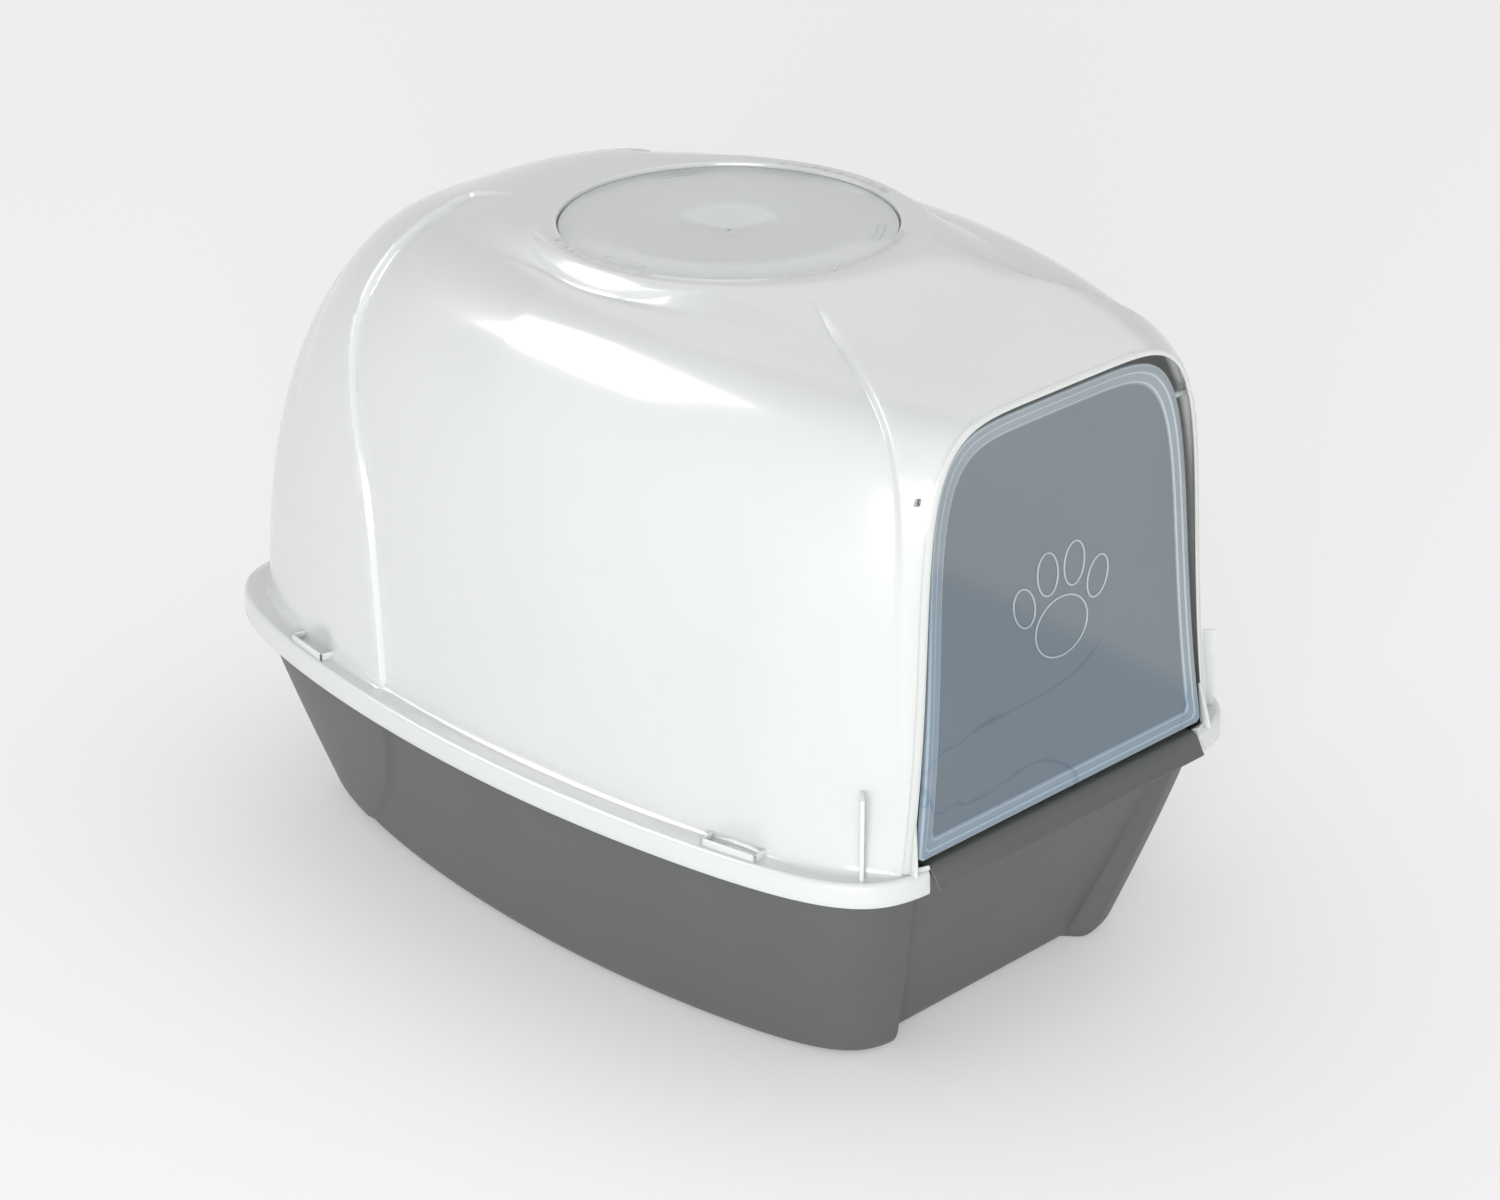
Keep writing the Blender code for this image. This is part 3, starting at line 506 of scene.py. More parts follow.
def hood_tube():
    def weight(points):
        door_edge = smooth((points[1] - opening_y(points[2])) / 0.020)
        return 0.050 * panel_depth(points) + 0.045 * door_edge

    rows = []
    theta, wall = hood_points_row(HOOD_BANDS[0][0], weight)
    for inset, rise in SKIRT_SECTION:
        rows.append(rim_row(inset, RIM_TOP + rise, theta, min(inset, 0.0030)))
    edge = rows[-1]
    for share, rise in ((0.30, 0.0000), (0.58, 0.0004), (0.79, 0.0013), (0.92, 0.0028)):
        row = edge * (1.0 - share) + wall * share
        row[2] = RIM_TOP + rise
        rows.append(row)
    rows.append(wall)
    for phi in hood_row_angles()[1:]:
        rows.append(hood_points_row(phi, weight)[1])
    last = rows[-1]
    around = np.arctan2(last[1] - SEAT_Y, last[0])
    ring = ((0.0965, RING_TOP), (0.0945, RING_TOP + 0.0003), (0.0934, RING_TOP + 0.0002),
            (0.0928, RING_TOP - 0.0003), (WELL_RADIUS, RING_TOP - 0.0010), (WELL_RADIUS, LEDGE_TOP))
    for radius, z in ring:
        rows.append(np.array((radius * np.cos(around), SEAT_Y + radius * np.sin(around),
                              np.full_like(around, z))))
    return woven_tube([row.T for row in rows])


def hood_points_row(phi, weight):
    """Angles and points of one row of the hood."""
    def path(theta):
        return hood_points(theta, np.full_like(theta, phi))
    theta = even_angles(path, weight, HOOD_COLUMNS)
    return theta, path(theta)


def with_edges(faces):
    """Faces with their corners and edges, as the cutting operators take them."""
    edges = dict.fromkeys(edge for face in faces for edge in face.edges)
    verts = dict.fromkeys(vert for face in faces for vert in face.verts)
    return [*verts, *edges, *faces]


def open_front(builder):
    """Cuts the doorway at its leaning plane and the rim where the tray's lip goes."""
    above = RIM_TOP + 0.0010
    upper = [face for face in builder.faces if face.calc_center_median().z > above]
    facing = Vector((0.0, -math.cos(OPENING_LEAN), math.sin(OPENING_LEAN)))
    bmesh.ops.bisect_plane(builder, geom=with_edges(upper), dist=1e-6, clear_outer=True,
                           plane_co=(0.0, OPENING_Y, RIM_TOP), plane_no=facing)
    back = RIM_FRONT_Y + RIM_OPEN_DEPTH
    planes = (((LIP_HALF, 0.0, 0.0), (1.0, 0.0, 0.0)), ((-LIP_HALF, 0.0, 0.0), (-1.0, 0.0, 0.0)),
              ((0.0, back, 0.0), (0.0, 1.0, 0.0)))
    for point, normal in planes:
        lower = []
        for face in builder.faces:
            centre = face.calc_center_median()
            if centre.z < above + 0.0002 and centre.y < back + 0.01:
                lower.append(face)
        bmesh.ops.bisect_plane(builder, geom=with_edges(lower), dist=1e-6, plane_co=point, plane_no=normal)
    gone = []
    for face in builder.faces:
        centre = face.calc_center_median()
        if centre.z < above + 0.0002 and abs(centre.x) < LIP_HALF and centre.y < back:
            gone.append(face)
    bmesh.ops.delete(builder, geom=gone, context='FACES')


def arch_row(offset, back):
    """Points along the doorway's arch, from the left foot over the top to the right foot."""
    phi = np.linspace(0.0, math.pi, 181)
    count = len(phi)
    z_low = RIM_TOP + 0.0006
    y_middle = OPENING_Y + 0.5 * math.tan(OPENING_LEAN) * HOOD_RISE
    centre = np.array((0.0, y_middle, z_low))
    direction = np.array((-np.cos(phi), np.zeros(count), np.sin(phi)))

    def level(points):
        return hood_level(np.array((points[0], opening_y(points[2]) + back, points[2])))

    points = centre[:, None] + direction * reach(level, centre, direction)
    points[1] = opening_y(points[2]) + back
    normal = level_normal(hood_level, points)
    normal[1] = 0.0
    normal = normal / np.linalg.norm(normal, axis=0)
    return points + normal * (offset + RAISED * 0.6)


def doorway_lip():
    """Rounded bead that runs around the doorway's edge."""
    rows = [arch_row(offset, back).T for offset, back in LIP_SECTION]
    builder = woven_tube(list(np.array(rows).transpose(1, 0, 2)))
    cap_ends(builder)
    bmesh.ops.recalc_face_normals(builder, faces=builder.faces)
    return builder


def wall_x(y, z):
    """Half width of the hood's plain form at one place."""
    rise = z - RIM_TOP
    power = float(hood_power(y))
    share = max(1.0 - (max(rise, 0.0) / float(hood_crown(y))) ** power, 0.0) ** (1.0 / power)
    return float(hood_half(y, np.clip(rise / HOOD_RISE, 0.0, 1.0))) * share


def corner_rib(side):
    centre = (side * RIB_X, OPENING_Y + 0.0150, RIM_TOP + RIB_SIZE[2] / 2.0 - 0.0015)
    return block(RIB_SIZE, centre, Matrix.Rotation(side * math.radians(45.0), 4, 'Z'), bevel=0.0005)


def jamb_gusset(side):
    """Thin triangle that props the foot of the doorway's edge on the front of the rim."""
    high, deep = 0.0270, 0.0066
    wall = wall_x(OPENING_Y, RIM_TOP + 0.006) - 0.0006
    centre = (side * wall, OPENING_Y + 0.0006 - deep / 2.0, RIM_TOP + high / 2.0 - 0.0006)
    builder = block((0.0018, deep, high), centre)
    for vert in builder.verts:
        if vert.co.z > RIM_TOP + 0.010:
            vert.co.x = side * (wall_x(OPENING_Y, RIM_TOP + high) - 0.0006) + (vert.co.x - side * wall)
            if vert.co.y < OPENING_Y - 0.001:
                vert.co.y = OPENING_Y - 0.0006
    rounded(builder, builder.edges[:], 0.0003, 2)
    return builder


def rim_guard(side, y):
    """Low U-shaped wall on the rim, open towards the hood's wall."""
    wall = wall_x(y, RIM_TOP + 0.004)
    slope = math.atan2(y - BOW_CENTRE_Y, BOW_RADIUS)
    half, depth, thin, high = GUARD_HALF, GUARD_DEPTH, GUARD_THICKNESS, GUARD_HEIGHT
    builder = bmesh.new()
    for size, out, along in (((depth + 0.002, thin), depth / 2.0 - 0.001, half - thin / 2.0),
                             ((depth + 0.002, thin), depth / 2.0 - 0.001, thin / 2.0 - half),
                             ((thin, 2.0 * half), depth - thin / 2.0, 0.0)):
        x = wall + out * math.cos(slope) - along * math.sin(slope)
        place = (side * x, y + out * math.sin(slope) + along * math.cos(slope), RIM_TOP + high / 2.0 - 0.001)
        turn = Matrix.Rotation(side * slope, 4, 'Z')
        join_into(builder, block((*size, high + 0.001), place, turn, bevel=0.00045))
    return builder


def pin_slot_cutters():
    """Slots through both jambs that the door's pins click into from behind."""
    made = []
    for side in (-1, 1):
        wall = wall_x(AXIS_Y, AXIS_Z)
        centre = (side * wall, AXIS_Y + 0.0004, AXIS_Z + 0.0006)
        made.append(cutter(block(PIN_SLOT, centre, bevel=0.0012), f"pin_slot_{side}"))
    return made


def seat_profile():
    low = BASKET_FLOOR - 0.0025
    outer = 0.0955
    return [(0.0, BASKET_FLOOR), (BASKET_RADIUS - 0.0010, BASKET_FLOOR),
            (BASKET_RADIUS, BASKET_FLOOR + 0.0010), (BASKET_RADIUS, LEDGE_TOP - 0.0006),
            (BASKET_RADIUS + 0.0006, LEDGE_TOP), (WELL_RADIUS - 0.0008, LEDGE_TOP),
            (WELL_RADIUS + 0.0006, LEDGE_TOP), (WELL_RADIUS + 0.0006, LEDGE_TOP + 0.0012),
            (outer, LEDGE_TOP + 0.0012), (outer, LEDGE_TOP - 0.0095), (outer - 0.0022, LEDGE_TOP - 0.0095),
            (outer - 0.0022, LEDGE_TOP - 0.0025), (BASKET_RADIUS + 0.0025, LEDGE_TOP - 0.0025),
            (BASKET_RADIUS + 0.0025, low), (0.0, low)]


def seat_cutters():
    made = []
    for index in range(5):
        offset = (index - 2) * 0.0200
        half = math.sqrt(0.065 ** 2 - offset ** 2)
        slot = block((2.0 * half, 0.0060, 0.010), (0.0, SEAT_Y + offset, BASKET_FLOOR - 0.00125))
        upright = [edge for edge in slot.edges if abs(edge.verts[0].co.z - edge.verts[1].co.z) > 0.005]
        rounded(slot, upright, 0.0027, 5)
        made.append(cutter(slot, f"vent_{index}"))
    for index, angle in enumerate(LEG_ANGLES):
        place = (LEG_RADIUS * math.cos(angle), SEAT_Y + LEG_RADIUS * math.sin(angle), LEDGE_TOP - 0.00125)
        slot = block((0.0042, 0.0264, 0.014), place, Matrix.Rotation(angle, 4, 'Z'))
        made.append(cutter(slot, f"leg_slot_{index}"))
    return made


def build_hood(paint, group):
    builder = hood_tube()
    outward(builder, Vector((0.0, SEAT_Y, RIM_TOP + 0.08)))
    open_front(builder)
    shell = finished(builder, "hood_shell", "hood", paint, group)
    wall = shell.modifiers.new("wall", 'SOLIDIFY')
    wall.thickness = HOOD_WALL
    wall.offset = -1.0
    cut(shell, pin_slot_cutters())
    shade(shell, FLAT_ANGLE)
    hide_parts("hood")
    finished(doorway_lip(), "doorway_lip", "hood", paint, group, 50.0)
    seat = finished(turned(seat_profile(), (0.0, SEAT_Y, 0.0), 160), "filter_seat", "hood", paint,
                    group)
    cut(seat, seat_cutters())
    details = bmesh.new()
    for side in (-1, 1):
        join_into(details, corner_rib(side))
        join_into(details, jamb_gusset(side))
    for side, y in GUARDS:
        join_into(details, rim_guard(side, y))
    finished(details, "hood_ribs_and_guards", "hood", paint, group)


# Tray

def tray_level(z, inset=0.0):
    share = np.clip((TRAY_TOP - z) / TRAY_TOP, 0.0, 1.0) ** TRAY_DRAFT_POWER
    half = RIM_HALF - 0.0080 - TRAY_NARROWER * share - inset
    front = RIM_FRONT_Y + 0.0080 + TRAY_FRONT_IN * share + inset
    rear = RIM_REAR_Y - 0.0080 - TRAY_REAR_IN * share - inset
    bow = 1.0 / (share / TRAY_BOW_RADIUS + (1.0 - share) / BOW_RADIUS)
    panel_half = PANEL_HALF[0] * share + PANEL_HALF[1] * (1.0 - share)
    recess = PANEL_RECESS[0] * share + PANEL_RECESS[1] * (1.0 - share)
    return plan_level(half, front, rear, TRAY_POWERS, bow, (panel_half, recess))


def tray_crease_y(z):
    """Where the tray's raised rear part starts, at a height."""
    return 0.0886 + 0.0733 * (np.clip((0.120 - z) / 0.109, 0.0, 1.2)) ** 1.94


def tray_row(z, inset=0.0, relief=1.0):
    level = tray_level(z, inset)

    def path(theta):
        points = plan_row(level, theta, z)
        normal = np.array((np.cos(theta), np.sin(theta), np.zeros_like(theta)))
        share = smooth((points[1] - tray_crease_y(z)) / 0.0050 + 0.5)
        return points + normal * (TRAY_RAISED * relief * (share - 0.35))

    def weight(points):
        panel = smooth((0.118 - np.abs(points[0])) / 0.060) * np.where(points[1] < -0.15, 1.0, 0.0)
        crease = smooth((points[1] - tray_crease_y(z)) / 0.014 + 0.5)
        return 0.080 * panel + 0.040 * crease

    theta = even_angles(path, weight, TRAY_COLUMNS)
    return theta, path(theta)


def rolled_lip():
    """Rolled lip across the front of the tray, under the door."""
    wall_y = RIM_FRONT_Y + 0.0080 + PANEL_RECESS[1]
    nose = RIM_FRONT_Y - LIP_REACH
    low = LIP_TOP - LIP_TIP
    section = [(wall_y + 0.0028, TRAY_TOP - 0.0060), (wall_y + 0.0028, LIP_TOP - 0.0012),
               (wall_y + 0.0024, LIP_TOP - 0.0004), (wall_y + 0.0016, LIP_TOP)]
    section += [(nose + back, LIP_TOP - down) for back, down in
                ((0.0092, 0.0), (0.0076, 0.0004), (0.0050, 0.0022), (0.0030, 0.0046), (0.0012, 0.0082))]
    section += [(nose + back, low + up) for back, up in
                ((0.0002, 0.0022), (-0.0004, 0.0014), (-0.0006, 0.0006), (-0.0002, 0.0001), (0.0006, 0.0),
                 (0.0021, 0.0001))]
    section += [(nose + 0.0036, LIP_TOP - 0.0066), (nose + 0.0058, LIP_TOP - 0.0044),
                (wall_y - 0.0008, LIP_TOP - 0.0046), (wall_y - 0.0008, TRAY_TOP - 0.0060)]
    builder = bmesh.new()
    face = builder.faces.new([builder.verts.new((-ROLLED_LIP_HALF, y, z)) for y, z in section])
    grown = bmesh.ops.extrude_face_region(builder, geom=[face])
    verts = [item for item in grown["geom"] if isinstance(item, bmesh.types.BMVert)]
    bmesh.ops.translate(builder, verts=verts, vec=(2.0 * ROLLED_LIP_HALF, 0.0, 0.0))
    bmesh.ops.recalc_face_normals(builder, faces=builder.faces)
    ends = [edge for edge in builder.edges if abs(edge.verts[0].co.x - edge.verts[1].co.x) < 1e-6]
    rounded(builder, ends, 0.0007, 3)
    return builder


def build_tray(paint, group):
    rows = []
    for turn in range(7):
        angle = math.pi / 2.0 * turn / 6.0
        rows.append(tray_row(TRAY_FOOT * (1.0 - math.cos(angle)) * 0.9 + 0.0001,
                             TRAY_FOOT * 0.55 * (1.0 - math.sin(angle)), turn / 6.0))
    for z in np.linspace(TRAY_FOOT, TRAY_TOP - 0.0030, 24)[1:]:
        rows.append(tray_row(float(z)))
    theta = rows[-1][0]
    rows = [row[1] for row in rows]
    for inset, z in ((0.0050, TRAY_TOP - 0.0024), (0.0030, TRAY_TOP - 0.0022), (0.0028, TRAY_TOP - 0.0016),
                     (0.0028, TRAY_TOP - 0.0005), (0.0033, TRAY_TOP), (0.0060, TRAY_TOP)):
        rows.append(rim_row(inset, z, theta))
    rows.append(plan_row(tray_level(TRAY_TOP, TRAY_WALL - 0.0006), theta, TRAY_TOP))
    rows.append(plan_row(tray_level(TRAY_TOP - 0.001, TRAY_WALL), theta, TRAY_TOP - 0.0010))
    for z in np.linspace(TRAY_TOP - 0.010, 0.014, 12):
        rows.append(plan_row(tray_level(float(z), TRAY_WALL), theta, float(z)))
    for turn in range(1, 6):
        angle = math.pi / 2.0 * turn / 5.0
        z = 0.014 - 0.011 * math.sin(angle)
        rows.append(plan_row(tray_level(z, TRAY_WALL + 0.008 * (1.0 - math.cos(angle))), theta, z))
    builder = woven_tube([row.T for row in rows])
    low = min(vert.co.z for vert in builder.verts)
    bmesh.ops.translate(builder, verts=builder.verts, vec=(0.0, 0.0, -low))
    cap_ends(builder)
    bmesh.ops.recalc_face_normals(builder, faces=builder.faces)
    tub = finished(builder, "tray_tub", "tray", paint, group)
    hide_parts("base_tray")
    finished(rolled_lip(), "tray_lip", "tray", paint, group)


# Door flap

def flap_level(inset):
    """Level of the flap's outline, drawn in by an inset: over 1 outside it."""
    margin = HOOD_WALL + DOOR_GAP + inset

    def level(points):
        x, z = points[0], points[2]
        rise = z - RIM_TOP
        y = opening_y(z)
        half = hood_half(y, np.clip(rise / HOOD_RISE, 0.0, 1.0)) - margin
        power = hood_power(y)
        arch = (np.abs(x) / half) ** power + (np.maximum(rise, 0.0) / (hood_crown(y) - margin)) ** power
        outside_arch = (arch ** (1.0 / power) - 1.0) * 0.100
        below = DOOR_BOTTOM + inset - z
        return 1.0 + soft_max(outside_arch, below, FLAP_CORNER)
    return level


def flap_row(theta, inset, y):
    centre = np.array((0.0, 0.0, FLAP_MIDDLE_Z))
    direction = np.array((np.cos(theta), np.zeros_like(theta), np.sin(theta)))
    points = centre[:, None] + direction * reach(flap_level(inset), centre, direction)
    points[1] = y
    return points


def flap_half_at(z):
    """Half width of the flap at a height."""
    theta = math.atan2(z - FLAP_MIDDLE_Z, 0.100)
    for _ in range(6):
        point = flap_row(np.array((theta,)), 0.0, 0.0)
        theta = math.atan2(z - FLAP_MIDDLE_Z, float(point[0][0]))
    return float(point[0][0])


def door_plate():
    """The flap: a thin pane inside a stepped, rounded border."""
    theta = even_angles(lambda angles: flap_row(angles, 0.0, 0.0), None, FLAP_POINTS)
    rows = [flap_row(theta, inset, y) for inset, y in FLAP_SECTION]
    builder = woven_tube([row.T for row in rows], FLAP_FINISHES)
    cap_ends(builder)
    bmesh.ops.recalc_face_normals(builder, faces=builder.faces)
    return builder


def bead_oval(centre, radii, tilt):
    """A low raised oval line on the front of the door."""
    rows = []
    for step in range(72):
        angle = 2.0 * math.pi * step / 72
        radial = Matrix.Rotation(tilt, 2) @ Vector((radii[0] * math.cos(angle), radii[1] * math.sin(angle)))
        away = Matrix.Rotation(tilt, 2) @ Vector((math.cos(angle), math.sin(angle)))
        ring = []
        for part in range(8):
            turn = 2.0 * math.pi * part / 8
            out = 0.00055 * math.cos(turn)
            ring.append((centre[0] + radial.x + away.x * out, -0.0009 - 0.00035 * math.sin(turn),
                         centre[1] + radial.y + away.y * out))
        rows.append(ring)
    rows.append(rows[0])
    builder = woven_tube(rows)
    bmesh.ops.recalc_face_normals(builder, faces=builder.faces)
    return builder


def door_pin(side):
    inner = flap_half_at(AXIS_Z) - 0.0060
    outer = wall_x(AXIS_Y, AXIS_Z) + 0.0005
    builder = bmesh.new()
    place = Matrix.Translation((side * (inner + outer) / 2.0, 0.0, AXIS_Z))
    bmesh.ops.create_cone(builder, cap_ends=True, segments=40, radius1=PIN_RADIUS, radius2=PIN_RADIUS,
                          depth=outer - inner, matrix=place @ Matrix.Rotation(math.pi / 2.0, 4, 'Y'))
    ends = [edge for edge in builder.edges if len(edge.link_faces) == 2 and edge.calc_face_angle(0.0) > 1.0]
    rounded(builder, ends, 0.0003, 2)
    return builder


def build_flap(paint, border, frost, group):
    builder = door_plate()
    beads = len(builder.faces)
    for centre, radii, tilt in PAW_OVALS:
        join_into(builder, bead_oval(centre, radii, tilt))
    for side in (-1, 1):
        join_into(builder, door_pin(side))
    builder.faces.ensure_lookup_table()
    for face in builder.faces[beads:]:
        face.material_index = 2
    lean = Matrix.Translation((0.0, AXIS_Y, AXIS_Z)) @ Matrix.Rotation(-DOOR_LEAN, 4, 'X')
    lean = lean @ Matrix.Translation((0.0, 0.0, -AXIS_Z))
    bmesh.ops.transform(builder, matrix=lean, verts=builder.verts)
    flap = finished(builder, "clear_flap", "door", paint, group, 26.0)
    flap.data.materials.append(border)
    flap.data.materials.append(frost)
    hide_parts("door_flap")


# Filter cover and pad

def cover_profile():
    under = COVER_TOP - COVER_THICKNESS
    top = []
    bottom = []
    for step in range(25):
        share = step / 24.0
        sink = DIMPLE_DEPTH * (1.0 - share ** 1.7) ** 1.35
        top.append((DIMPLE_RADIUS * share, COVER_TOP - sink))
        bottom.append((DIMPLE_RADIUS * share, under - sink * 0.98))
    top[0] = (0.0, top[1][1])
    bottom[0] = (0.0, bottom[1][1])
    edge = [(0.0600, COVER_TOP), (COVER_RADIUS - 0.0010, COVER_TOP),
            (COVER_RADIUS - 0.0003, COVER_TOP - 0.0003), (COVER_RADIUS, COVER_TOP - 0.0010),
            (COVER_RADIUS, under + 0.0004), (COVER_RADIUS - 0.0004, under)]
    return top + edge + bottom[::-1]


def leg_mark(angle):
    """Low raised outline on the cover above one snap leg."""
    rows = []
    corners = [(0.0805, -0.145), (0.0815, -0.155), (0.0835, -0.155), (0.0845, -0.145)]
    corners += [(radius, -turn) for radius, turn in reversed(corners)]
    for index in range(len(corners)):
        first, second = corners[index], corners[(index + 1) % len(corners)]
        for step in range(10):
            share = step / 10.0
            radius = first[0] * (1.0 - share) + second[0] * share
            turn = angle + first[1] * (1.0 - share) + second[1] * share
            ring = []
            for part in range(6):
                bend = 2.0 * math.pi * part / 6
                out = radius + 0.00022 * math.cos(bend)
                side = 0.00022 * math.cos(bend) / radius * (1.0 if abs(first[0] - second[0]) > 1e-4 else 0.0)
                ring.append((out * math.cos(turn + side), SEAT_Y + out * math.sin(turn + side),
                             COVER_TOP + 0.00014 * math.sin(bend)))
            rows.append(ring)
    rows.append(rows[0])
    builder = woven_tube(rows)
    bmesh.ops.recalc_face_normals(builder, faces=builder.faces)
    return builder


def build_filter(cover_paint, pad_paint, group):
    builder = turned(cover_profile(), (0.0, SEAT_Y, 0.0), 200)
    gate = bmesh.new()
    bmesh.ops.create_cone(gate, cap_ends=True, segments=24, radius1=0.0012, radius2=0.0009, depth=0.0003,
                          matrix=Matrix.Translation((0.0, SEAT_Y, COVER_TOP - 0.0039)))
    join_into(builder, gate)
    under = COVER_TOP - COVER_THICKNESS
    for angle in LEG_ANGLES:
        place = (LEG_RADIUS * math.cos(angle), SEAT_Y + LEG_RADIUS * math.sin(angle), under - 0.0030)
        turn = Matrix.Rotation(angle, 4, 'Z')
        join_into(builder, block((0.0018, 0.0240, 0.0078), place, turn, bevel=0.0003))
        hook = (place[0] + 0.0008 * math.cos(angle), place[1] + 0.0008 * math.sin(angle), under - 0.0060)
        join_into(builder, block((0.0016, 0.0240, 0.0010), hook, turn, bevel=0.0003))
        join_into(builder, leg_mark(angle))
    cover = finished(builder, "cover_disc", "cover", cover_paint, group, 30.0)
    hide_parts("filter_cover")
    low = BASKET_FLOOR + 0.0003
    profile = [(0.0, low), (PAD_RADIUS - 0.0006, low), (PAD_RADIUS, low + 0.0006),
               (PAD_RADIUS, low + PAD_THICKNESS - 0.0012), (PAD_RADIUS - 0.0012, low + PAD_THICKNESS),
               (0.0, low + PAD_THICKNESS)]
    felt = turned(profile, (0.0, SEAT_Y, 0.0), 144)
    pad = finished(felt, "felt_pad", "filter", pad_paint, group)
    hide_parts("carbon_filter")


# Finishes

def set_sockets(tree, node, values):
    """Gives sockets a fixed value, or a link where the value is another node's output."""
    for name, value in values.items():
        if isinstance(value, bpy.types.NodeSocket):
            tree.links.new(value, node.inputs[name])
        else:
            node.inputs[name].default_value = value
    return node


def darker(colour, share):
    return tuple(channel * share for channel in colour[:3])


class Finish:
    """A node material put together step by step, with patterns on the piece's own coordinates."""

    def __init__(self, name):
        self.paint = bpy.data.materials.new(name)
        self.paint.use_nodes = True
        self.tree = self.paint.node_tree
        self.place = self.tree.nodes.new("ShaderNodeTexCoord").outputs["Object"]

    def add(self, kind, values):
        return set_sockets(self.tree, self.tree.nodes.new("ShaderNode" + kind), values)

    def noise(self, scale, detail, roughness=0.5, distortion=0.0):
        return self.add("TexNoise", {"Scale": scale, "Detail": detail, "Roughness": roughness,
                                     "Distortion": distortion, "Vector": self.place}).outputs["Fac"]

    def spread(self, source, low, high, start=0.3, end=0.7, way='LINEAR'):
        """Turns a value between a start and an end into one between two limits."""
        node = self.add("MapRange", {"Value": source, "From Min": start, "From Max": end,
                                     "To Min": low, "To Max": high})
        node.interpolation_type = way
        return node.outputs["Result"]

    def two_tones(self, source, first, second, start=0.35, end=0.65):
        ramp = self.add("ValToRGB", {"Fac": source})
        for element, position, colour in zip(ramp.color_ramp.elements, (start, end), (first, second)):
            element.position = position
            element.color = (*colour[:3], 1.0)
        return ramp.outputs["Color"]

    def mixed(self, first, second, share=1.0, blend='MULTIPLY'):
        node = self.tree.nodes.new("ShaderNodeMix")
        node.data_type = 'RGBA'
        node.blend_type = blend
        return set_sockets(self.tree, node, {"Factor": share, "A": first, "B": second}).outputs["Result"]

    def bump(self, source, strength, distance):
        node = self.add("Bump", {"Height": source, "Strength": strength, "Distance": distance})
        return node.outputs["Normal"]

    def done(self, values):
        set_sockets(self.tree, self.tree.nodes["Principled BSDF"], values)
        return self.paint


def gloss_white(name, colour, roughness):
    """Pearly white injection-moulded plastic with a faint flow unevenness."""
    finish = Finish(name)
    cloud = finish.noise(9.0, 3.0)
    fine = finish.noise(420.0, 2.0)
    return finish.done({
        "Base Color": finish.two_tones(cloud, darker(colour, 0.975), colour),
        "Roughness": finish.spread(fine, roughness - 0.02, roughness + 0.03),
        "Normal": finish.bump(finish.noise(16.0, 1.0, 0.4), 0.08, 0.0004),
        "Coat Weight": 0.7, "Coat Roughness": 0.12,
        "Subsurface Weight": 0.35, "Subsurface Radius": (1.0, 1.0, 1.0), "Subsurface Scale": 0.012,
        "IOR": 1.49})


def satin_grey(name, colour):
    """Satin polypropylene with a fine eroded grain."""
    finish = Finish(name)
    cloud = finish.noise(14.0, 4.0, 0.55)
    grain = finish.noise(1500.0, 3.0, 0.6)
    return finish.done({
        "Base Color": finish.two_tones(cloud, darker(colour, 0.93), colour),
        "Roughness": finish.spread(grain, 0.40, 0.56),
        "Normal": finish.bump(grain, 0.22, 0.00012),
        "IOR": 1.49})


def smoked_clear(name, colour, cover, roughness):
    """Smoked see-through plastic, milky enough to hide what lies behind it, with a painted reflection that
    makes it darker and bluer towards its lower left.
    """
    finish = Finish(name)
    tones = finish.two_tones(finish.noise(11.0, 3.0), darker(colour, 0.95), colour)
    # Painted reflection: below a diagonal line towards the lower left, the pane is painted darker and bluer,
    # as if a dark thing were reflected there; above the line the plain tone stays
    across = finish.tree.nodes.new("ShaderNodeVectorMath")
    across.operation = 'DOT_PRODUCT'
    across.inputs[1].default_value = (0.66, 0.0, 1.0)
    finish.tree.links.new(finish.place, across.inputs[0])
    upper = finish.spread(across.outputs["Value"], 0.0, 1.0, 0.222, 0.243, 'SMOOTHSTEP')
    white = (1.0, 1.0, 1.0)
    lines = finish.two_tones(finish.noise(7.5, 3.0, 0.5, 1.1), white, white, 0.485, 0.515)
    lines.node.color_ramp.elements.new(0.50).color = (0.72, 0.78, 0.88, 1.0)
    # Painted reflection tone: the plain tone with a streaked line, multiplied by a pale blue to darken it
    lower = finish.mixed(finish.mixed(tones, lines), (0.78, 0.87, 0.95, 1.0))
    return finish.done({
        "Base Color": finish.mixed(lower, tones, upper, 'MIX'),
        "Roughness": finish.spread(finish.noise(700.0, 2.0), roughness - 0.03, roughness + 0.05),
        "Normal": finish.bump(finish.noise(30.0, 2.0), 0.06, 0.0005),
        "Alpha": cover, "IOR": 1.46})


def black_felt(name, colour):
    """Needled felt charged with carbon."""
    finish = Finish(name)
    hairs = finish.noise(420.0, 6.0, 0.75)
    return finish.done({
        "Base Color": finish.two_tones(hairs, darker(colour, 0.5), darker(colour, 1.8)),
        "Roughness": 0.95,
        "Normal": finish.bump(hairs, 0.9, 0.0009)})


# Settings

def colour_setting(name, description, default):
    return bpy.props.FloatVectorProperty(name=name, description=description, subtype='COLOR', size=3,
                                         min=0.0, max=1.0, default=default)


class HoodSettings(bpy.types.PropertyGroup):
    colour: colour_setting("Colour", "Colour of the hood's plastic", (0.640, 0.664, 0.644))
    roughness: bpy.props.FloatProperty(
        name="Roughness", description="How dull the hood's gloss is", subtype='FACTOR',
        min=0.05, max=0.6, default=0.24)


class TraySettings(bpy.types.PropertyGroup):
    colour: colour_setting("Colour", "Colour of the tray's plastic", (0.094, 0.099, 0.097))


class FlapSettings(bpy.types.PropertyGroup):
    colour: colour_setting("Colour", "Colour of the door's smoked plastic", (0.222, 0.252, 0.274))
    border_colour: colour_setting("Border colour", "Colour of the thick border", (0.330, 0.378, 0.412))
    line_colour: colour_setting("Line colour", "Colour of the frosted edges and lines", (0.440, 0.490, 0.520))


